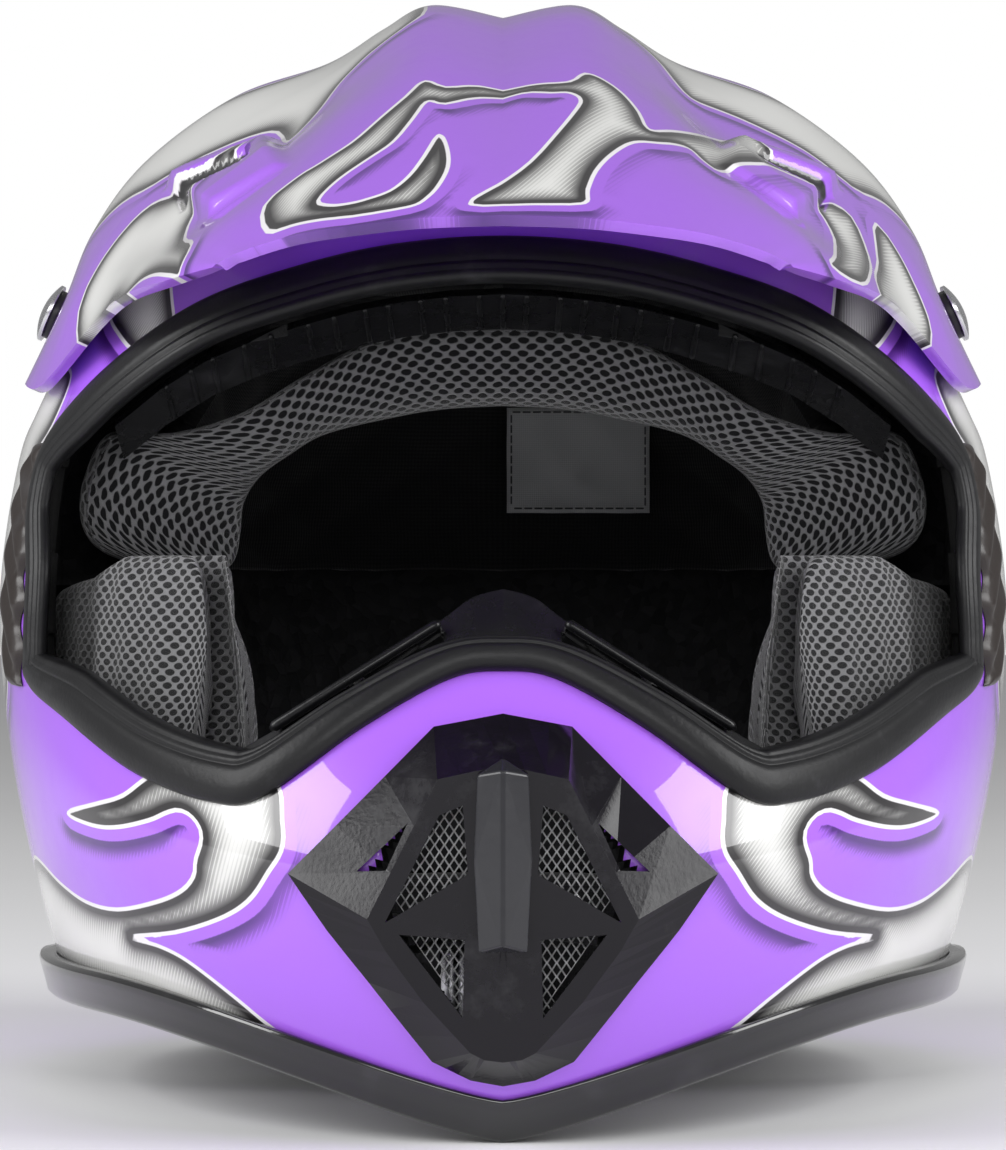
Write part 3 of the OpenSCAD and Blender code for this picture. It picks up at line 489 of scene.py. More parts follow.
# ---------------------------------------------------------------- peak
# Moulded peak, 2.5 mm thick, painted to match the shell. Two ridges run back from the lip,
# with a scoop on each side; an ear on each side and the crown tub take the three screws.
peak_rows = [
    [(0, -160, 200), (17.5, -159, 199.4), (33, -155, 198), (43, -150, 196.8), (52, -142, 195),
        (57, -138, 193.6), (60, -134.5, 192.4), (61.8, -132.5, 191.7), (62.7, -131, 191)],
    [(0, -130, 215), (17.5, -130, 216), (35, -128, 212.5), (48, -124, 208), (58, -119, 203.5),
        (64, -115, 200), (68, -113, 196.5), (71.5, -112, 193), (73.5, -112, 189.6)],
    [(0, -95, 231), (17.5, -95, 233.5), (34, -94, 228), (47, -92, 220), (57, -89, 213),
        (66, -86, 207), (73, -85, 201), (80, -86, 195), (85, -88, 187.8)],
    [(0, -60, 244.5), (17.5, -60, 247.5), (32, -60, 240), (44, -58, 231), (56, -58, 223),
        (72, -56, 214.5), (82, -54, 206), (90, -55, 195), (95, -58, 183)],
    [(0, -25, 256), (17.5, -25, 259.3), (30, -25, 252.5), (42, -24, 244),
        (58.2, -24.1, 235.3), (80.2, -24.1, 221.3), (93.1, -26, 207), (102.2, -29.1, 191.1),
        (109.3, -33.3, 169.8)],
    [(0, 8, 261), (17.5, 8, 263.7), (29, 8, 258.6), (43, 8, 250.6),
        (65, 5.7, 242.2), (87.3, 2.7, 225.5), (100.3, -0.1, 208), (107.2, -5, 190.5),
        (116.3, -6, 171)],
    [(0, 38, 252.5), (17.5, 37, 254.2), (29, 35, 252.6), (43.5, 32.2, 250.1),
        (65.9, 29, 244.7), (88.8, 25.8, 228.6), (102.2, 25, 210.1), (107.5, 25, 192.1),
        (115, 13, 174.5)]]
peak_t = 2.5
tilt_axis = np.array([0, 10, 187.5])
ear_out = np.array([109, 10, 188.0])
ear_cant = math.radians(25)
ear_normal = np.array([math.cos(ear_cant), 0, math.sin(ear_cant)])
pocket_half, pocket_front, pocket_back = 13.0, -7.0, 23.0

# Artwork on the peak: across from the middle along the surface, and y; the left and right
# differ, as they were laid by hand
peak_flames = [
    # the loop over the left ridge, with its thin arm across to the right
    [(-53, -126), (-46, -120), (-41, -119), (-34, -115), (-28, -107), (-22, -98), (-18, -90),
        (-13, -94), (-5, -89), (6, -89), (15, -91), (19, -84), (24, -86), (28, -91), (31, -99),
        (33, -108), (39, -101), (46, -89), (55, -68), (62, -57), (66, -62), (74, -66),
        (84, -59), (94, -51), (99, -66), (97, -84), (92, -98), (79, -110), (82, -100),
        (86, -80), (82, -70), (76, -74), (65, -84), (56, -98), (50, -110), (46, -110),
        (43, -107), (39, -110), (35, -114), (29, -119), (24, -128), (20, -138), (18, -147),
        (17, -153), (6, -154.5), (-7, -154.5), (-1, -145), (6, -134), (12, -120), (16, -109),
        (17.5, -102), (15, -98), (11, -97), (4, -93.5), (-5, -97), (-13, -104.5), (-17, -103),
        (-20, -112), (-24, -122), (-29, -127), (-36, -133), (-40, -139), (-37, -143.5),
        (-33, -145.5), (-29, -146), (-24, -145), (-20, -140), (-17, -132), (-14, -121.5),
        (-12.2, -128), (-11.8, -137), (-13.5, -145), (-16, -150.5), (-20, -153.5), (-32, -151.5),
        (-44, -145), (-51, -139)],
    # the light panels down both outer edges
    [(-62, -57), (-74, -60), (-86, -52), (-96, -40), (-108, -36), (-128, -40), (-130, -58),
        (-112, -70), (-104, -86), (-95, -92), (-88, -100), (-81, -111), (-77, -116), (-74, -108),
        (-80, -92), (-80, -78), (-72, -68)],
    [(104, -36), (120, -40), (132, -44), (130, -64), (112, -78), (104, -92), (100, -80),
        (103, -60)],
    # the flanks behind the ridges
    [(22, 42), (20, -6), (30, -12), (40, -21), (45, -33), (50, -40), (58, -36), (68, -31),
        (82, -27), (96, -28), (108, -12), (124, 2), (140, 6), (150, 20), (120, 22), (108, 34),
        (88, 42), (80, 26), (70, 8), (56, 2), (44, 8), (36, 24)],
    [(-22, 42), (-19, -20), (-23, -34), (-31, -36), (-37, -40), (-43, -45), (-48, -57),
        (-55, -70), (-60, -50), (-68, -40), (-82, -33), (-96, -26), (-108, -12), (-124, 2),
        (-140, 6), (-150, 20), (-120, 22), (-108, 34), (-88, 42), (-80, 26), (-70, 8),
        (-56, 2), (-44, 8), (-36, 24)],
]
across_steps, back_steps = 16, 28
half_peak = smooth_curve(np.transpose(np.array(peak_rows, float), (1, 0, 2)), across_steps)
half_peak = np.transpose(half_peak, (1, 0, 2))
half_peak = smooth_curve(half_peak, back_steps)
peak_grid = np.concatenate([half_peak[:, :0:-1] * [-1, 1, 1], half_peak], axis=1)
steps_across = np.linalg.norm(np.diff(half_peak[:, :, [0, 2]], axis=1), axis=2)
half_across = np.concatenate([np.zeros((len(half_peak), 1)), np.cumsum(steps_across, 1)], 1)
peak_u = np.concatenate([-half_across[:, :0:-1], half_across], axis=1)
peak_v = peak_grid[:, :, 1]

# The seat of each washer is a flat on the ear
for side in (1, -1):
    toward = peak_grid - ear_out * [side, 1, 1]
    normal = ear_normal * [side, 1, 1]
    lift = toward @ normal
    radius = np.linalg.norm(toward - lift[..., None] * normal, axis=2)
    hold = np.clip((13 - radius) / 4, 0, 1) * (abs(toward[:, :, 0]) < 30)
    peak_grid -= (hold * lift)[..., None] * normal

# Raised air scoops on both flanks, each with a shallow dent near its rear end that is painted near-black as
# the shade inside a slot
scoop_rise, slot_drop = 4.2, 3.2
scoop = [(80, -38), (66, -95), (47, -107), (51, -62)]
scoop_slot = [(76, -52), (73.5, -66), (56.5, -79), (57, -66)]
flank_x = abs(peak_grid[:, :, 0])
in_scoop = signed_distance(flank_x, peak_v, scoop)
in_slit = signed_distance(flank_x, peak_v, scoop_slot)
down_way = np.gradient(peak_grid, axis=0)
over_way = np.gradient(peak_grid, axis=1)
peak_normal = np.cross(over_way, down_way)
peak_normal /= np.linalg.norm(peak_normal, axis=2, keepdims=True)
peak_normal *= np.sign(peak_normal[:, :, 2:])
swell = np.clip((in_scoop + 0.5) / 3.5, 0, 1)
swell = swell * swell * (3 - 2 * swell) * np.clip((peak_v + 112) / 26, 0, 1)
dent = np.clip((in_slit + 1.2) / 2.6, 0, 1)
peak_grid += (scoop_rise * swell - slot_drop * dent * dent * (3 - 2 * dent))[..., None] * peak_normal

peak_flame = chart_distance(peak_flames, peak_u, peak_v, k=3)
climb = np.gradient(peak_flame, axis=0) / np.maximum(np.gradient(peak_v, axis=0), 0.05)
in_pocket = np.minimum(pocket_half - abs(peak_grid[:, :, 0]),
    np.minimum(peak_v - pocket_front, pocket_back - peak_v))
pocket_quad = (in_pocket[:-1, :-1] + in_pocket[1:, :-1] + in_pocket[:-1, 1:] + in_pocket[1:, 1:]) / 4
peak_paint = material("peak_paint", Coat_Weight=1.0, Coat_Roughness=0.03, Specular_IOR_Level=0.35)
peak = mesh_object("peak", peak_grid.reshape(-1, 3),
    grid_faces(*peak_u.shape, keep=pocket_quad < 0), peak_paint)
paint(peak, inside_white=peak_flame, under=np.clip(climb, 0, 1), across=peak_u, along=peak_v,
    slit=in_slit)
wear(peak, "SOLIDIFY", thickness=peak_t * MM, offset=-1.0, use_even_offset=True)
wear(peak, "BEVEL", width=0.9 * MM, segments=3, limit_method="ANGLE", angle_limit=math.radians(60))
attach(peak, "visor")
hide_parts("visor")
finish_paint(peak_paint, Ground=(0.36, 0.12, 0.76, 1), Pitch=0.95)
art_link = peak_paint.node_tree.nodes["Principled BSDF"].inputs["Base Color"].links[0].from_socket
# Painted shade: each scoop's dent is coloured near-black for the dark inside of an open slot
slot_painted_shade = ramp(peak_paint, layer(peak_paint, "slit"), 0.0, 0.35)
feed(peak_paint, "Base Color", blend_colour(peak_paint, slot_painted_shade, art_link, (0.01, 0.01, 0.012, 1)))

# Tub in the crown of the peak: a curved floor, which slides under the screw's washer as the
# peak tilts, and four walls.
tub_y = np.linspace(pocket_front - 0.4, pocket_back + 0.4, 24)
washer_under_r = 62.8
floor_r = washer_under_r + peak_t
tub_half = 13.4
tub_floor = tilt_axis[2] + np.sqrt(floor_r ** 2 - (tub_y - tilt_axis[1]) ** 2)
middle_col = peak_grid.shape[1] // 2
tub_top = np.interp(tub_y, peak_v[:, middle_col + 12], peak_grid[:, middle_col + 12, 2]) - 0.4
end_x = np.linspace(-tub_half, tub_half, 12)
end_tops = []
for y in (tub_y[0], tub_y[-1]):
    row = int(np.argmin(abs(peak_v[:, middle_col] - y)))
    end_tops.append(np.interp(end_x, peak_grid[row, :, 0], peak_grid[row, :, 2]) - 0.5)
tub_points, tub_faces = [], []


def add_strip(low_edge, high_edge):
    start = len(tub_points)
    n = len(low_edge)
    tub_points.extend(list(low_edge) + list(high_edge))
    tub_faces.extend([[start + i, start + i + 1, start + n + i + 1, start + n + i] for i in range(n - 1)])


add_strip([(-tub_half, y, z) for y, z in zip(tub_y, tub_floor)],
    [(tub_half, y, z) for y, z in zip(tub_y, tub_floor)])
for x in (-tub_half, tub_half):
    add_strip([(x, y, z) for y, z in zip(tub_y, tub_floor)], [(x, y, z) for y, z in zip(tub_y, tub_top)])
for k in (0, -1):
    add_strip([(x, tub_y[k], tub_floor[k]) for x in end_x],
        [(x, tub_y[k], z) for x, z in zip(end_x, end_tops[k])])
tub = mesh_object("peak_tub", tub_points, tub_faces, peak_paint)
far_off = np.full(len(tub_points), far_outside)
paint(tub, inside_white=far_off, under=0 * far_off, across=far_off, along=far_off, slit=far_off)
wear(tub, "WELD", merge_threshold=0.2 * MM)
wear(tub, "SOLIDIFY", thickness=1.6 * MM, offset=0.0)
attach(tub, "visor")

# ---------------------------------------------------------------- moulded black parts
# Rubber and plastic parts share one finish: a slight grain, and rubbed patches that shine
# more.
moulded, moulded_in, moulded_out = start_group("moulded_finish", [
    ("Rough", "NodeSocketFloat", 0.4), ("Grain", "NodeSocketFloat", 400.0),
    ("Tint", "NodeSocketColor", (0.012, 0.012, 0.013, 1))],
    [("Color", "NodeSocketColor"), ("Roughness", "NodeSocketFloat"), ("Height", "NodeSocketFloat")])
moulded_spot = add(moulded, "ShaderNodeTexCoord").outputs["Object"]
rubbed = add(moulded, "ShaderNodeTexNoise", Vector=moulded_spot, Scale=45.0, Detail=7.0,
    Roughness=0.7).outputs[0]
scuff = ramp(moulded, rubbed, 0.55, 0.72)
pores = add(moulded, "ShaderNodeTexNoise", Vector=moulded_spot, Scale=moulded_in.outputs["Grain"],
    Detail=2.0).outputs[0]
moulded.links.new(blend_colour(moulded, maths(moulded, "MULTIPLY", scuff, 0.35),
    moulded_in.outputs["Tint"], (0.06, 0.06, 0.065, 1)), moulded_out.inputs["Color"])
moulded.links.new(maths(moulded, "ADD", moulded_in.outputs["Rough"],
    maths(moulded, "MULTIPLY", maths(moulded, "SUBTRACT", rubbed, 0.5), 0.35)),
    moulded_out.inputs["Roughness"])
moulded.links.new(pores, moulded_out.inputs["Height"])


def moulded_material(name, tint, rough, grain=900.0, bump=0.1, **settings):
    made = material(name, **settings)
    finish = place_group(made, moulded, Rough=rough, Grain=grain, Tint=(*tint, 1))
    feed(made, "Base Color", finish.outputs["Color"])
    feed(made, "Roughness", finish.outputs["Roughness"])
    relief(made, finish.outputs["Height"], bump, 0.0004)
    return made


def dress(node_name, mat, rounding=0.35, angle=30):
    """Gives a CAD node its material and rounds its sharp edges."""
    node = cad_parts[node_name]
    for held in node.material_slots:
        held.material = mat
    if rounding:
        wear(node, "WELD", merge_threshold=0.02 * MM)
        wear(node, "BEVEL", width=rounding * MM, segments=2, limit_method="ANGLE",
            angle_limit=math.radians(angle), use_clamp_overlap=True)
    return node


def ring_faces(sections, around):
    """Quads of a ring of closed sections that comes back to its start."""
    i, j = np.meshgrid(np.arange(sections), np.arange(around), indexing="ij")
    i, j = i.ravel(), j.ravel()
    i2, j2 = (i + 1) % sections, (j + 1) % around
    return np.stack([i * around + j, i * around + j2, i2 * around + j2, i2 * around + j], 1).tolist()


def tube_points(path, radius, sides=10, closed=False):
    """Points of a round bar along a path, as sections."""
    p = np.asarray(path, float)
    if closed:
        way = np.roll(p, -1, 0) - np.roll(p, 1, 0)
    else:
        way = np.gradient(p, axis=0)
    way /= np.maximum(np.linalg.norm(way, axis=1, keepdims=True), 1e-9)
    side = np.cross(way, [0.13, 0.31, 0.94])
    side /= np.linalg.norm(side, axis=1, keepdims=True)
    up = np.cross(side, way)
    t = np.arange(sides) * 2 * np.pi / sides
    r = np.broadcast_to(radius, len(p))[:, None, None]
    return p[:, None] + r * (np.cos(t)[None, :, None] * side[:, None]
        + np.sin(t)[None, :, None] * up[:, None])


def bars(name, paths, radius, mat, sides=8):
    """One piece of several round-ended bars along the given paths."""
    points, faces = [], []
    for path in paths:
        p = smooth_curve(path, 3) if len(path) > 2 else np.linspace(path[0], path[1], 4)
        way = p[-1] - p[-2]
        way0 = p[0] - p[1]
        p = np.concatenate([[p[0] + way0 / np.linalg.norm(way0) * radius * 0.9], p,
            [p[-1] + way / np.linalg.norm(way) * radius * 0.9]])
        r = np.full(len(p), float(radius))
        r[[0, -1]] = radius * 0.35
        sections = tube_points(p, r, sides)
        start = len(points)
        points += sections.reshape(-1, 3).tolist()
        faces += [[start + v for v in f] for f in grid_faces(len(p), sides, round_way=True)]
        faces.append([start + v for v in range(sides)][::-1])
        faces.append([start + (len(p) - 1) * sides + v for v in range(sides)])
    return mesh_object(name, points, faces, mat)


def stitch_row(path, stitch=3.0, space=1.3):
    """Short straight paths along a curve, one for each stitch."""
    p = np.asarray(path, float)
    run = np.concatenate([[0], np.cumsum(np.linalg.norm(np.diff(p, axis=0), axis=1))])
    found = []
    for s in np.arange(space, run[-1] - stitch, stitch + space):
        ends = [[np.interp(v, run, p[:, k]) for k in range(3)] for v in (s, s + stitch)]
        found.append(np.array(ends))
    return found


# ---------------------------------------------------------------- eyeport gasket
# Extruded black rubber channel, pushed over the edge of the opening and bonded there. Its
# face is a wide soft band with two fine lip lines on the inner side.
opening_loop = smooth_curve(both_halves(opening_half), 12, closed=True)


def face_point(x, z):
    return np.stack([x, face_y(x, z), z], -1)


loop_points = face_point(opening_loop[:, 0], opening_loop[:, 1])
loop_way = np.roll(loop_points, -1, 0) - np.roll(loop_points, 1, 0)
loop_way /= np.linalg.norm(loop_way, axis=1, keepdims=True)
fx, fz = opening_loop[:, 0], opening_loop[:, 1]
loop_out = np.stack([(face_y(fx + 1, fz) - face_y(fx - 1, fz)) / 2, -np.ones(len(fx)),
    (face_y(fx, fz + 1) - face_y(fx, fz - 1)) / 2], -1)
loop_out /= np.linalg.norm(loop_out, axis=1, keepdims=True)
loop_in = np.cross(loop_way, loop_out)
loop_in /= np.linalg.norm(loop_in, axis=1, keepdims=True)


band_share = 1 - 0.36 * np.exp(-(fx / 44) ** 2) * np.clip((118 - fz) / 2, 0, 1) - 0.24 * np.clip(
    (abs(fx) - 98) / 10, 0, 1)


def beside(b, h):
    """Points beside the edge: in towards the face by b, then out of the shell by h, or straight
    back. The band is narrower over the nose and at the temples."""
    q = loop_points + (b * band_share)[:, None] * loop_in
    q[:, 1] = np.minimum(q[:, 1], face_y(q[:, 0], q[:, 2]))
    return q + h * (np.array([0, -1.0, 0]) if h < 0 else loop_out)


gasket_profile = [(0, 0.4), (0.2, 1.2), (0.9, 2.1), (2.4, 2.9), (4.6, 3.35), (7.0, 3.4), (8.6, 3.25),
    (9.0, 2.7), (9.4, 2.6), (9.8, 3.0), (10.8, 2.9), (11.3, 2.3), (11.7, 2.2), (12.1, 2.3),
    (12.9, 1.6), (13.4, 0.2), (13.5, -3), (13.5, -8.4), (12.9, -9), (10.6, -9), (9.9, -8.4), (9.9, 0.6)]
gasket_rubber = moulded_material("gasket_rubber", (0.008, 0.008, 0.009), 0.42, bump=0.16,
    Specular_IOR_Level=0.3)
gasket_sections = np.stack([beside(b, h) for b, h in gasket_profile[::-1]], 1)
gasket = mesh_object("gasket", gasket_sections.reshape(-1, 3),
    ring_faces(len(gasket_sections), len(gasket_profile)), gasket_rubber)
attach(gasket, "helmet")
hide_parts("eyeport_gasket")

# ---------------------------------------------------------------- nose guard
# Stiff black plastic bridge that screws in behind the gasket. Two long slots run down each
# side of the nose, each with a small bridge at its middle and a round glossy bead above it.
guard_plastic = moulded_material("guard_plastic", (0.007, 0.007, 0.008), 0.27, bump=0.08,
    Specular_IOR_Level=0.3)
crest = smooth_curve([(0, 121.5, 13), (7, 119.5, 13), (14, 114.5, 13), (30, 104, 14), (47, 92.5, 14),
    (58, 86, 10)], 16)
crest = np.concatenate([crest[:0:-1] * [-1, 1, 1], crest])
guard_rows = 29
guard_v = np.linspace(1, 0, guard_rows)[:, None]
guard_x = np.broadcast_to(crest[:, 0], (guard_rows, len(crest)))
guard_z = crest[:, 1] - guard_v * crest[:, 2]
guard_y = face_y(guard_x, guard_z) + 13.5 + 3 * (1 - guard_v) - 0.8 * np.sin(np.pi * guard_v)
slot_a, slot_b = np.array([13.5, 111.2]), np.array([49.5, 88.6])
slot_way = (slot_b - slot_a) / np.linalg.norm(slot_b - slot_a)
slot_off = np.stack([abs(guard_x), guard_z], -1) - (slot_a + slot_b) / 2
slot_run = abs(slot_off @ slot_way)
slot_side = abs(slot_off @ [-slot_way[1], slot_way[0]])
slot_half = np.linalg.norm(slot_b - slot_a) / 2
in_slot = np.minimum(np.minimum(slot_half - slot_run, slot_run - 1.2), 1.5 - slot_side)
slot_quad = (in_slot[:-1, :-1] + in_slot[1:, 1:] + in_slot[:-1, 1:] + in_slot[1:, :-1]) / 4
guard = mesh_object("nose_guard_shell", np.stack([guard_x, guard_y, guard_z], -1).reshape(-1, 3),
    grid_faces(*guard_x.shape, keep=slot_quad < 0), guard_plastic)
wear(guard, "SOLIDIFY", thickness=2.4 * MM, offset=-1.0)
wear(guard, "BEVEL", width=0.5 * MM, segments=2, limit_method="ANGLE", angle_limit=math.radians(50))
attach(guard, "helmet")
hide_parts("nose_guard")
bead_paths = []
for side in (1, -1):
    along_slot = np.linspace(slot_a, slot_b, 12) + np.array([0.53, 0.85]) * 2.6
    bead_paths.append([(side * x, float(face_y(x, z)) + 13.2, z) for x, z in along_slot])
bead = bars("nose_guard_beads", bead_paths, 1.25, guard_plastic, sides=12)
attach(bead, "helmet")

# ---------------------------------------------------------------- brow vent strip
# Black plastic strip under the brow, in front of the foam liner, with fine upright ribs
# across it.
dress("brow_vent_strip", guard_plastic, 0.5)
strip_paths = []
count = len(loop_points)
for share in np.linspace(-0.108, 0.108, 25):
    i = int(round(share * count)) % count
    top, low = beside(25.6, -34)[i], beside(16.8, -14)[i]
    strip_paths.append([top, (top + low) / 2 + [0, -0.4, 0], low])
ribs = bars("brow_ribs", strip_paths, 0.7, guard_plastic)
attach(ribs, "helmet")

# ---------------------------------------------------------------- side grips
# Soft dark rubber pads beside the opening that steady the goggle strap: five waves along
# the front edge, with slanted grip ribs in the face.
grip_rubber = moulded_material("grip_rubber", (0.020, 0.014, 0.012), 0.36, bump=0.1)
grip_low_z, grip_tall, grip_waves, grip_rib_pitch = 98, 58, 5, 11.6
for side, way in (("left", -1), ("right", 1)):
    s = np.linspace(0, 1, 150)[:, None]
    t = np.linspace(0, 1, 26)[None, :]
    z = grip_low_z + s * grip_tall + 0 * t
    ends = abs(2 * s - 1) ** 4
    y0 = -33.6 + 1.5 * np.sin(s * 2 * np.pi * grip_waves)
    y1 = -19 - 8 * ends
    y = y0 + t * (y1 - y0)
    edge = np.minimum(np.minimum(t, 1 - t) * (y1 - y0), np.minimum(s, 1 - s) * grip_tall)
    dome = np.sqrt(np.clip(edge / 2.4, 0, 1) * (2 - np.clip(edge / 2.4, 0, 1)))
    rib = 0.7 * np.sin((z - y * 1.1) * 2 * np.pi / grip_rib_pitch) * np.clip(edge / 3, 0, 1)
    x = side_x(y, z) + 0.35 + 2.0 * dome + rib
    grip = mesh_object("side_grip_pad_" + side, np.stack([way * x, y, z], -1).reshape(-1, 3),
        grid_faces(*x.shape), grip_rubber)
    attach(grip, "helmet")
    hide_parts("side_grip_" + side)

# ---------------------------------------------------------------- base trim
# Glossy black rubber moulding round the lower edge, glued over the shell and turned in
# under the foam.
trim_black = moulded_material("trim_black", (0.008, 0.008, 0.009), 0.14, bump=0.05,
    Coat_Weight=0.6, Coat_Roughness=0.05)
trim_h = 9.5
trim_profile = [(0.1, 9.5), (0.5, 9.9), (1.1, 9.7), (1.8, 8.6), (2, 7), (2.05, 4.5), (2, 2.2),
    (1.7, 0.9), (0.9, 0.1), (-1, 0), (-6, 0), (-11.5, 0), (-13.2, 0.3), (-13.9, 1.4), (-14, 4),
    (-13.8, 6.6), (-13, 7), (-12.2, 6.6), (-11.6, 3), (-6, 2.7), (0.1, 2.9)]
trim_angle = np.arange(0, 360, 2.0)
trim_here = at(trim_angle, rim(trim_angle) + trim_h)
trim_next = at(trim_angle + 1, rim(trim_angle + 1) + trim_h)
trim_way = (trim_next - trim_here) * [1, 1, 0]
trim_way /= np.linalg.norm(trim_way, axis=1, keepdims=True)
trim_out = np.stack([trim_way[:, 1], -trim_way[:, 0], 0 * trim_angle], -1)
flare = 3 * np.sin(np.radians(trim_angle)) ** 2
trim_sections = []
for out, up in trim_profile:
    wall = at(trim_angle, rim(trim_angle) + max(up, 2.7))
    wall[:, 2] = rim(trim_angle) + up
    reach = out + np.where(out > 0.55, flare, 0)
    trim_sections.append(wall + reach[:, None] * trim_out)
trim_sections = np.stack(trim_sections, 1)
trim = mesh_object("base_trim_moulding", trim_sections.reshape(-1, 3),
    ring_faces(len(trim_angle), len(trim_profile)), trim_black)
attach(trim, "helmet")
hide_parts("base_trim")

# ---------------------------------------------------------------- mouth vent
# Faceted black cover snapped over the hole in the chin, a separate spine down its middle that is coloured
# lighter than the cover, and expanded steel mesh behind it that keeps stones out.
vent_plastic = moulded_material("vent_plastic", (0.007, 0.006, 0.009), 0.16, bump=0.05,
    Specular_IOR_Level=0.3)
dress("mouth_vent_cover", vent_plastic, 0.55, 12)
spine_plastic = moulded_material("spine_plastic", (0.022, 0.022, 0.026), 0.22, grain=300.0, bump=0.15,
    Specular_IOR_Level=0.4)
dress("mouth_vent_spine", spine_plastic, 0.5, 20)
vent_steel = material("vent_mesh_metal", Metallic=0.55, Roughness=0.3)
steel_stain = add(vent_steel, "ShaderNodeTexNoise", Scale=160.0, Detail=4.0)
feed(vent_steel, "Base Color", blend_colour(vent_steel, steel_stain.outputs[0],
    (0.72, 0.72, 0.74, 1), (0.95, 0.95, 0.96, 1)))
diamond_w, diamond_h = 2.1, 3.0
mesh_middle_z = 53
mesh_points, mesh_faces, mesh_index = [], [], {}


def mesh_corner(i, j):
    if (i, j) not in mesh_index:
        x, z = i * diamond_w / 2, mesh_middle_z + j * diamond_h / 2
        mesh_index[i, j] = len(mesh_points)
        mesh_points.append((x, -134 - (z - 28) * 0.06 + 0.35 * (-1) ** j, z))
    return mesh_index[i, j]


def mesh_span(z):
    return np.interp(z, [28, 45, 62, 77], [9, 20.5, 25.5, 15])


for i in range(-26, 27):
    for j in range(-18, 18):
        z = mesh_middle_z + j * diamond_h / 2
        if (i + j) % 2 or not 30 < z < 75.5:
            continue
        if abs(i * diamond_w / 2) < mesh_span(z) - 1.2:
            mesh_faces.append([mesh_corner(i - 1, j), mesh_corner(i, j - 1), mesh_corner(i + 1, j),
                mesh_corner(i, j + 1)])
vent_mesh = mesh_object("vent_mesh_sheet", mesh_points, mesh_faces, vent_steel, smooth=False)
wear(vent_mesh, "WIREFRAME", thickness=0.62 * MM, use_even_offset=False)
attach(vent_mesh, "helmet")
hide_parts("mouth_vent_mesh")

# ---------------------------------------------------------------- rear vents
# Four black grilles snapped into slots at the back, each with a thin flange that covers the
# edge of the slot.
black_plastic = moulded_material("black_plastic", (0.012, 0.012, 0.013), 0.33, bump=0.1)
dress("rear_vent_grilles", black_plastic, 0.4)
flange_profile = [(-1.6, -1.5), (-1.4, 0.7), (-0.6, 1.2), (1.0, 1.1), (2.2, 0.7), (2.6, -0.6)]
flange_round = 64
flange_points, flange_faces = [], []
for vent in rear_vents:
    for side in (1, -1):
        centre, along, out, up = vent_frame(vent)
        turn = np.linspace(0, 2 * np.pi, flange_round, endpoint=False)
        ring = []
        for grow, lift in flange_profile:
            a = (vent[3] / 2 + grow) * np.sign(np.cos(turn)) * abs(np.cos(turn)) ** 0.3
            u = (grille_h / 2 + grow) * np.sign(np.sin(turn)) * abs(np.sin(turn)) ** 0.3
            flat_ring = centre + a[:, None] * along + u[:, None] * up
            reach = np.maximum(0, back_r(flat_ring[:, 2]))
            wide = np.minimum(1, abs(flat_ring[:, 0]) / half_w(flat_ring[:, 2]))
            skin_y = centre_y + reach * np.sqrt(np.maximum(0, 1 - wide ** oval(flat_ring[:, 2])))
            flat_ring[:, 1] = skin_y + lift
            ring.append(flat_ring * [side, 1, 1])
        ring = np.stack(ring)
        start = len(flange_points)
        flange_points += ring.reshape(-1, 3).tolist()
        flange_faces += [[start + v for v in f] for f in grid_faces(
            len(flange_profile), flange_round, round_way=True)]
flange = mesh_object("rear_vent_flanges", flange_points, flange_faces, black_plastic)
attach(flange, "helmet")

# ---------------------------------------------------------------- screws, washers, inserts
# Three bright screws with domed heads and hexagon sockets hold the peak. Each has a black
# nylon washer under it and a brass insert moulded into the shell.
screw_steel = material("screw_metal", Metallic=1.0)
steel_wear = add(screw_steel, "ShaderNodeTexNoise", Scale=220.0, Detail=6.0, Roughness=0.7)
feed(screw_steel, "Base Color", blend_colour(screw_steel, steel_wear.outputs[0],
    (0.52, 0.52, 0.54, 1), (0.80, 0.80, 0.82, 1)))
feed(screw_steel, "Roughness", ramp(screw_steel, steel_wear.outputs[0], 0.3, 0.7, 0.16, 0.34))
for name in ("visor_screw_left", "visor_screw_right", "visor_screw_top"):
    dress(name, screw_steel, 0.3)
washer_nylon = moulded_material("washer_nylon", (0.010, 0.010, 0.011), 0.45)
for name in ("visor_washer_left", "visor_washer_right", "visor_washer_top"):
    dress(name, washer_nylon, 0.3)
insert_brass = material("insert_brass", Metallic=1.0, Roughness=0.35)
brass_stain = add(insert_brass, "ShaderNodeTexNoise", Scale=300.0)
feed(insert_brass, "Base Color", blend_colour(insert_brass, brass_stain.outputs[0],
    (0.45, 0.30, 0.10, 1), (0.68, 0.50, 0.22, 1)))
dress("visor_inserts", insert_brass, 0.2)

# ---------------------------------------------------------------- bead foam
# The crash liner and the chin block are moulded from fused black beads, which show as a
# fine pattern of cells on every face.
bead_foam = material("bead_foam", Roughness=0.85, Specular_IOR_Level=0.2)
foam_spot = add(bead_foam, "ShaderNodeTexCoord").outputs["Object"]
bead_cells = add(bead_foam, "ShaderNodeTexVoronoi", Vector=foam_spot, feature="DISTANCE_TO_EDGE",
    Scale=330.0)
bead_tone = add(bead_foam, "ShaderNodeTexVoronoi", Vector=foam_spot, Scale=330.0)
feed(bead_foam, "Base Color", blend_colour(bead_foam, bead_tone.outputs["Color"],
    (0.012, 0.012, 0.013, 1), (0.030, 0.030, 0.032, 1)))
relief(bead_foam, ramp(bead_foam, bead_cells.outputs["Distance"], 0.0, 0.2), 0.5, 0.0004)
for name in ("eps_liner", "chin_bar_foam"):
    dress(name, bead_foam, 0.0)

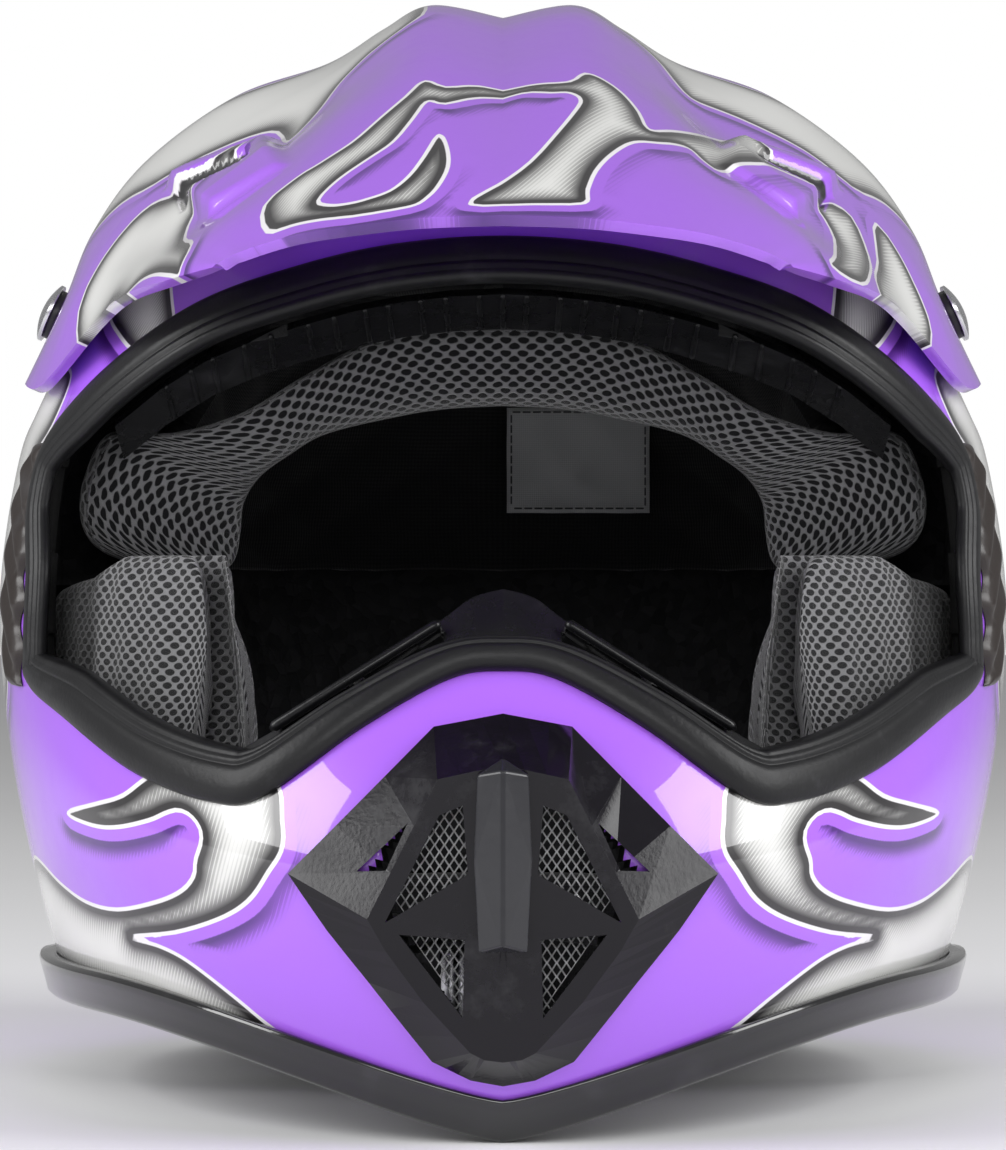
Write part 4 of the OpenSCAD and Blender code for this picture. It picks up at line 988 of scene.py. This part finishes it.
# ---------------------------------------------------------------- fabrics
# Two cloths: an open grey air mesh with staggered oval holes on the faces of the pads, and
# a plain black knit on their sides and on the crown liner.
knit, knit_in, knit_out = start_group("knit_weave", [
    ("Across", "NodeSocketFloat", 0.0), ("Along", "NodeSocketFloat", 0.0),
    ("Pitch", "NodeSocketFloat", 1.0)],
    [("Height", "NodeSocketFloat"), ("Shade", "NodeSocketFloat")])
rib_u = maths(knit, "PINGPONG", maths(knit, "DIVIDE", knit_in.outputs["Across"],
    knit_in.outputs["Pitch"]), 0.5)
rib_v = maths(knit, "PINGPONG", maths(knit, "DIVIDE", knit_in.outputs["Along"],
    knit_in.outputs["Pitch"]), 0.5)
weave = maths(knit, "ADD", rib_u, rib_v)
knit.links.new(weave, knit_out.inputs["Height"])
fluff = add(knit, "ShaderNodeTexNoise", Scale=700.0, Detail=4.0).outputs[0]
# The shade output is painted shade on the weave: the dips between threads are darker and the raised threads
# lighter, as light falls, with random fluff tone added
knit.links.new(maths(knit, "ADD", maths(knit, "MULTIPLY", weave, 0.6),
    maths(knit, "MULTIPLY", fluff, 0.5)), knit_out.inputs["Shade"])

air, air_in, air_out = start_group("air_mesh", [
    ("Across", "NodeSocketFloat", 0.0), ("Along", "NodeSocketFloat", 0.0),
    ("Cloth", "NodeSocketColor", (0.29, 0.29, 0.30, 1))],
    [("Color", "NodeSocketColor"), ("Height", "NodeSocketFloat"), ("Roughness", "NodeSocketFloat")])
hole_w, hole_h, pitch_u, pitch_v = 1.25, 0.78, 3.9, 3.1


def hole_distance(shift):
    u = maths(air, "ADD", maths(air, "DIVIDE", air_in.outputs["Across"], pitch_u), shift)
    v = maths(air, "ADD", maths(air, "DIVIDE", air_in.outputs["Along"], pitch_v), shift)
    du = maths(air, "MULTIPLY", maths(air, "PINGPONG", u, 0.5), pitch_u / hole_w)
    dv = maths(air, "MULTIPLY", maths(air, "PINGPONG", v, 0.5), pitch_v / hole_h)
    return maths(air, "SQRT", maths(air, "ADD", maths(air, "MULTIPLY", du, du),
        maths(air, "MULTIPLY", dv, dv)))


nearest_hole = maths(air, "MINIMUM", hole_distance(0.0), hole_distance(0.5))
solid_cloth = ramp(air, nearest_hole, 0.85, 1.15)
# Painted light on the air mesh: the yarn noise lightens the fibres where it raises them. This is a random
# fibre tone that also paints highlight on the raised yarn. The holes are painted near-black as the shade in
# their depth.
yarn = add(air, "ShaderNodeTexNoise", Scale=900.0, Detail=3.0).outputs[0]
yarn_tone_and_highlight = blend_colour(air, yarn, (0.11, 0.11, 0.114, 1), air_in.outputs["Cloth"])
air.links.new(blend_colour(air, solid_cloth, (0.006, 0.006, 0.007, 1), yarn_tone_and_highlight),
    air_out.inputs["Color"])
air.links.new(maths(air, "ADD", solid_cloth, maths(air, "MULTIPLY", yarn, 0.25)),
    air_out.inputs["Height"])
air.links.new(ramp(air, yarn, 0.2, 0.8, 0.8, 0.95), air_out.inputs["Roughness"])

air_mesh = material("air_mesh_fabric", Sheen_Weight=0.35, Sheen_Roughness=0.4, Specular_IOR_Level=0.2)
air_look = place_group(air_mesh, air, Across=layer(air_mesh, "across"), Along=layer(air_mesh, "along"))
feed(air_mesh, "Base Color", air_look.outputs["Color"])
feed(air_mesh, "Roughness", air_look.outputs["Roughness"])
relief(air_mesh, air_look.outputs["Height"], 0.8, 0.0006)

black_knit = material("black_fabric", Roughness=0.9, Sheen_Weight=0.3, Sheen_Roughness=0.5,
    Specular_IOR_Level=0.15)
knit_look = place_group(black_knit, knit, Across=layer(black_knit, "across"),
    Along=layer(black_knit, "along"))
# Painted shade from the weave: darker in the dips between threads, lighter on the raised ones, over a random
# fluff tone
feed(black_knit, "Base Color", blend_colour(black_knit, knit_look.outputs["Shade"],
    (0.006, 0.006, 0.007, 1), (0.030, 0.030, 0.032, 1)))
relief(black_knit, knit_look.outputs["Height"], 0.6, 0.0003)
thread = material("thread", Roughness=0.7, Sheen_Weight=0.3)
thread_twist = add(thread, "ShaderNodeTexNoise", Scale=1500.0)
feed(thread, "Base Color", blend_colour(thread, thread_twist.outputs[0],
    (0.02, 0.02, 0.022, 1), (0.09, 0.09, 0.095, 1)))


def power(v, n):
    return np.sign(v) * abs(v) ** n


def cushion(name, sections, mat, body="helmet"):
    """A closed soft piece from sections; it carries its own distances along and across."""
    sections = np.asarray(sections, float)
    rows, cols = sections.shape[:2]
    faces = grid_faces(rows, cols, round_way=True)
    faces.append(list(range(cols))[::-1])
    faces.append([(rows - 1) * cols + j for j in range(cols)])
    piece = mesh_object(name, sections.reshape(-1, 3), faces, mat)
    around = np.linalg.norm(np.diff(sections, axis=1, append=sections[:, :1]), axis=2)
    down = np.linalg.norm(np.diff(sections, axis=0, prepend=sections[:1]), axis=2)
    middle = np.median(np.cumsum(down, 0), axis=1)[:, None]
    round_run = np.cumsum(around, 1) - around
    paint(piece, across=np.broadcast_to(middle, (rows, cols)), along=round_run)
    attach(piece, body)
    return piece


# ---------------------------------------------------------------- forehead pad
# Curved cushion across the brow, foam under air mesh, snapped into the liner. A stitched
# seam follows its front edge.
upper_edge = smooth_curve([(0, -50, 183), (16, -50, 182.4), (31, -48, 179.7), (47, -45, 171.5),
    (62, -40, 163), (78, -36, 158.5), (94, -31, 158.5), (100.5, -28, 148), (102, -27, 138),
    (101, -26, 129.5)], 12)
lower_edge = smooth_curve([(0, -44, 164.5), (13, -44, 163.8), (25, -43, 162), (42, -40, 158),
    (51, -37, 153), (58, -34, 148), (62, -31, 142), (63, -28, 135), (64, -26, 128),
    (66, -25, 122.5)], 12)
upper_edge = np.concatenate([upper_edge[:0:-1] * [-1, 1, 1], upper_edge])
lower_edge = np.concatenate([lower_edge[:0:-1] * [-1, 1, 1], lower_edge])
pad_turn = np.linspace(0, 2 * np.pi, 72, endpoint=False)
pad_share = np.linspace(-1, 1, len(upper_edge))
pad_end = np.clip(1 - abs(pad_share) ** 24, 0.02, 1) ** 0.5
pad_middle = (upper_edge + lower_edge) / 2 + [0, 7, 0]
pad_up = (upper_edge - lower_edge) / 2
pad_sections = (pad_middle[:, None] + pad_up[:, None] * (power(np.sin(pad_turn), 0.62)[None, :, None]
    * pad_end[:, None, None]))
pad_depth = 7.6 * power(np.cos(pad_turn), 0.7)[None, :] * pad_end[:, None]
pucker = 0.35 * np.sin(pad_share * 170)[:, None] * np.exp(-((abs(pad_turn - np.pi) - 1.0) / 0.25) ** 2)
pad_sections[:, :, 1] += pad_depth + pucker
forehead = cushion("forehead_cushion", pad_sections, air_mesh)
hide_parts("forehead_pad")
seam_index = int(round((np.pi - 1.0) / (2 * np.pi) * 72))
brow_seam = bars("forehead_stitches", stitch_row(pad_sections[4:-4, seam_index] + [0, -0.25, 0]), 0.32,
    thread, sides=6)
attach(brow_seam, "helmet")

# ---------------------------------------------------------------- cheek pads
# Each cheek has a thick inner cushion on a foam block against the shell. Both are covered
# in air mesh, which makes two lobes at the front, with stitching along the crease.
cheek_y = [-82, -62, -38, -12, 14, 28, 35]
cheek_in = [56, 57, 60, 64, 66, 68, 70]


def cheek_face(y, z):
    return np.interp(y, cheek_y, cheek_in) + 4 * ((z - 84) / 42) ** 2


def core_face(y, z):
    return np.maximum(side_x(y, z, shell_t + 18), cheek_face(y, z) + 7)


def core_back(y, z):
    return np.maximum(side_x(y, z, shell_t + 7.5), core_face(y, z) + 4)


lobe_turn = np.linspace(0, 2 * np.pi, 96, endpoint=False)
lobe_y = np.concatenate([-82 + 12 * (1 - np.cos(np.linspace(0, np.pi / 2, 14))),
    np.linspace(-68, 24, 60), 24 + 11 * np.sin(np.linspace(0, np.pi / 2, 14))[1:]])
front_round = np.sin(np.clip((lobe_y + 82.6) / 13, 0, 1) * np.pi / 2) ** 0.55
back_round = np.sin(np.clip((35.6 - lobe_y) / 11, 0, 1) * np.pi / 2) ** 0.6
lobe_size = front_round * back_round
for side, way in (("left", -1), ("right", 1)):
    for name, inner, outer, low, top, mat, node in (
            ("cheek_cushion_", cheek_face, lambda y, z: core_face(y, z) - 0.6, 42, 120, air_mesh,
                "cheek_pad_"),
            ("cheek_bolster_", core_face, core_back, 42, 120, air_mesh, "cheek_core_")):
        y = lobe_y[:, None]
        size = lobe_size[:, None]
        z = (low + top) / 2 + (top - low) / 2 * power(np.sin(lobe_turn), 0.62)[None] * size ** 0.35
        risen = np.interp(y, [-50, -34, -12, 14], [9, 4, 2, 0]) * np.clip((z - 96) / 24, 0, 1)
        z_in, z_out = inner(y, z), outer(y, z)
        # the inner front corner of the cushion is drawn in towards the top
        z_in = z_in + 9 * np.clip((z - 96) / 24, 0, 1) ** 1.5 * np.clip((-30 - y) / 40, 0, 1) * (
            node == "cheek_pad_")
        z_in = np.minimum(z_in, z_out - 3)
        # a deep crease parts the two lobes at the front
        part = 2.2 * np.clip((-58 - y) / 20, 0, 1)
        z_in = z_in + part * (node == "cheek_core_")
        z_out = z_out - part * (node == "cheek_pad_")
        x = (z_in + z_out) / 2 + (z_out - z_in) / 2 * power(np.cos(lobe_turn), 0.55)[None] * size
        dimple = 0.5 * np.sin(y * 0.55) * np.sin(z * 0.23) * size
        lobe = cushion(name + side, np.stack([way * (x + dimple * (abs(np.cos(lobe_turn)) > 0.4)),
            y + 0 * x, z + risen], -1), mat)
        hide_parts(node + side)
    crease_z = np.linspace(50, 114, 40)
    crease = np.stack([way * (cheek_face(-76.0, crease_z) + 3.4), np.full(40, -81.2), crease_z], -1)
    row = bars("cheek_stitches_" + side, stitch_row(crease), 0.3, thread, sides=6)
    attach(row, "helmet")

# ---------------------------------------------------------------- crown liner
# Quilted black comfort liner over the crown and down the back of the head, held by snaps.
# Its face is sewn in diamonds.
liner_angle = np.arange(0, 360, 2.5)
liner_share = np.linspace(0, 0.985, 46)
liner_depth = 37.5
liner_z = 126 + liner_share[:, None] * (crown_z - liner_depth - 126) + 0 * liner_angle[None]
quilt = abs(np.sin(np.radians(liner_angle[None] * 9) + liner_share[:, None] * 14)
    * np.sin(np.radians(liner_angle[None] * 9) - liner_share[:, None] * 14)) ** 0.4
liner_points = at(np.broadcast_to(liner_angle, liner_z.shape), liner_z, liner_depth)
liner_in = np.array([0, 30, 150]) - liner_points
liner_in /= np.linalg.norm(liner_in, axis=2, keepdims=True)
liner_points += liner_in * (quilt * 2.0 - 2.0)[..., None]
liner_keep = np.minimum(liner_points[:, :, 1] - 1, 500)
liner_keep = np.maximum(liner_keep, liner_z - 191)
liner_quad = (liner_keep[:-1] + liner_keep[1:]) / 2
liner_quad = (liner_quad + np.roll(liner_quad, -1, axis=1)) / 2
liner_faces = grid_faces(*liner_z.shape, round_way=True, keep=liner_quad > 0)
liner_last = (len(liner_share) - 1) * len(liner_angle)
liner_faces.append([liner_last + j for j in range(len(liner_angle))])
liner = mesh_object("crown_padding", liner_points.reshape(-1, 3), liner_faces, black_knit)
paint(liner, across=np.broadcast_to(liner_angle * 1.6, liner_z.shape), along=liner_z)
wear(liner, "SOLIDIFY", thickness=5.5 * MM, offset=1.0)
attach(liner, "helmet")
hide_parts("crown_liner")

# ---------------------------------------------------------------- neck roll
# Stuffed roll round the nape and the sides of the neck, in black knit with upright ribs.
roll_angle = np.arange(104, 256.1, 1.0)
roll_low = np.maximum(0, 11 * (abs(np.cos(np.radians(roll_angle / 2))) / math.cos(math.radians(52))) ** 2 - 2)
roll_turn = np.linspace(0, 2 * np.pi, 60, endpoint=False)
roll_end = np.clip((76.5 - abs(roll_angle - 180)) / 9, 0.04, 1) ** 0.5
roll_rib = 0.7 * abs(np.sin(np.radians(roll_angle * 22)))
roll_sections = []
for a, low_z, end, rib_in in zip(roll_angle, roll_low, roll_end, roll_rib):
    z = (44 + low_z) / 2 + (44 - low_z) / 2 * power(np.sin(roll_turn), 0.6) * end
    depth_in = 27 + (11.5 - rib_in) * power(np.cos(roll_turn), 0.8) * end
    roll_sections.append(at(a, z, depth_in))
roll = cushion("neck_bolster", roll_sections, black_knit)
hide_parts("neck_roll")

# ---------------------------------------------------------------- care label
# Small grey woven label sewn by its edges to the back of the liner; it is left blank.
label_cloth = material("label_fabric", Roughness=0.85, Sheen_Weight=0.2)
label_look = place_group(label_cloth, knit, Across=layer(label_cloth, "across"),
    Along=layer(label_cloth, "along"), Pitch=0.5)
# Painted shade from the weave: darker in the dips between threads, lighter on the raised ones, over a random
# fluff tone
feed(label_cloth, "Base Color", blend_colour(label_cloth, label_look.outputs["Shade"],
    (0.42, 0.42, 0.43, 1), (0.75, 0.75, 0.77, 1)))
relief(label_cloth, label_look.outputs["Height"], 0.5, 0.0002)
label_x, label_z = np.meshgrid(np.linspace(1, 39, 40), np.linspace(141, 169, 30))
label_y = 98.2 - 0.5 * np.sin(label_x * 0.35) * np.cos(label_z * 0.3)
label = mesh_object("blank_label", np.stack([label_x, label_y, label_z], -1).reshape(-1, 3),
    grid_faces(*label_x.shape), label_cloth)
paint(label, across=label_x, along=label_z)
wear(label, "SOLIDIFY", thickness=0.5 * MM)
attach(label, "helmet")
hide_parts("care_label")
label_edge = [(2.2, 97.3, 142.2), (37.8, 97.3, 142.2), (37.8, 97.3, 167.8), (2.2, 97.3, 167.8),
    (2.2, 97.3, 142.2)]
label_rows = [s for a, b in zip(label_edge, label_edge[1:])
    for s in stitch_row(np.linspace(a, b, 10), 1.8, 0.9)]
label_thread = bars("label_stitches", label_rows, 0.22, thread, sides=6)
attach(label_thread, "helmet")

# ---------------------------------------------------------------- chin strap and rings
# Woven black webbing riveted to the shell on both sides. Two steel rings hang in a loop on
# the left strap; the right strap's free end lies over them and is snapped to the left strap.
webbing = material("webbing", Roughness=0.75, Sheen_Weight=0.25)
web_spot = add(webbing, "ShaderNodeTexCoord").outputs["Object"]
web_split = add(webbing, "ShaderNodeSeparateXYZ", Vector=web_spot)
web_look = place_group(webbing, knit, Across=maths(webbing, "MULTIPLY", web_split.outputs[0], 1000.0),
    Along=maths(webbing, "MULTIPLY", web_split.outputs[1], 1000.0), Pitch=1.6)
# Painted shade from the weave: darker in the dips between threads, lighter on the raised ones, over a random
# fluff tone
feed(webbing, "Base Color", blend_colour(webbing, web_look.outputs["Shade"],
    (0.010, 0.010, 0.011, 1), (0.045, 0.045, 0.048, 1)))
relief(webbing, web_look.outputs["Height"], 0.7, 0.0005)
for name in ("chin_strap_left", "chin_strap_right"):
    dress(name, webbing, 0.3)
ring_steel = material("ring_steel", Metallic=1.0)
ring_wear = add(ring_steel, "ShaderNodeTexNoise", Scale=260.0, Detail=6.0, Roughness=0.65)
feed(ring_steel, "Base Color", blend_colour(ring_steel, ring_wear.outputs[0],
    (0.40, 0.40, 0.42, 1), (0.72, 0.72, 0.74, 1)))
feed(ring_steel, "Roughness", ramp(ring_steel, ring_wear.outputs[0], 0.3, 0.7, 0.18, 0.36))
for name in ("d_ring_inner", "d_ring_outer", "strap_anchor_plates", "strap_rivets", "strap_snap_stud"):
    dress(name, ring_steel, 0.0 if name.startswith("d_ring") else 0.25)
snap_plastic = moulded_material("snap_plastic", (0.011, 0.011, 0.012), 0.35)
for name in ("strap_snap_cap", "liner_snaps"):
    dress(name, snap_plastic, 0.25)
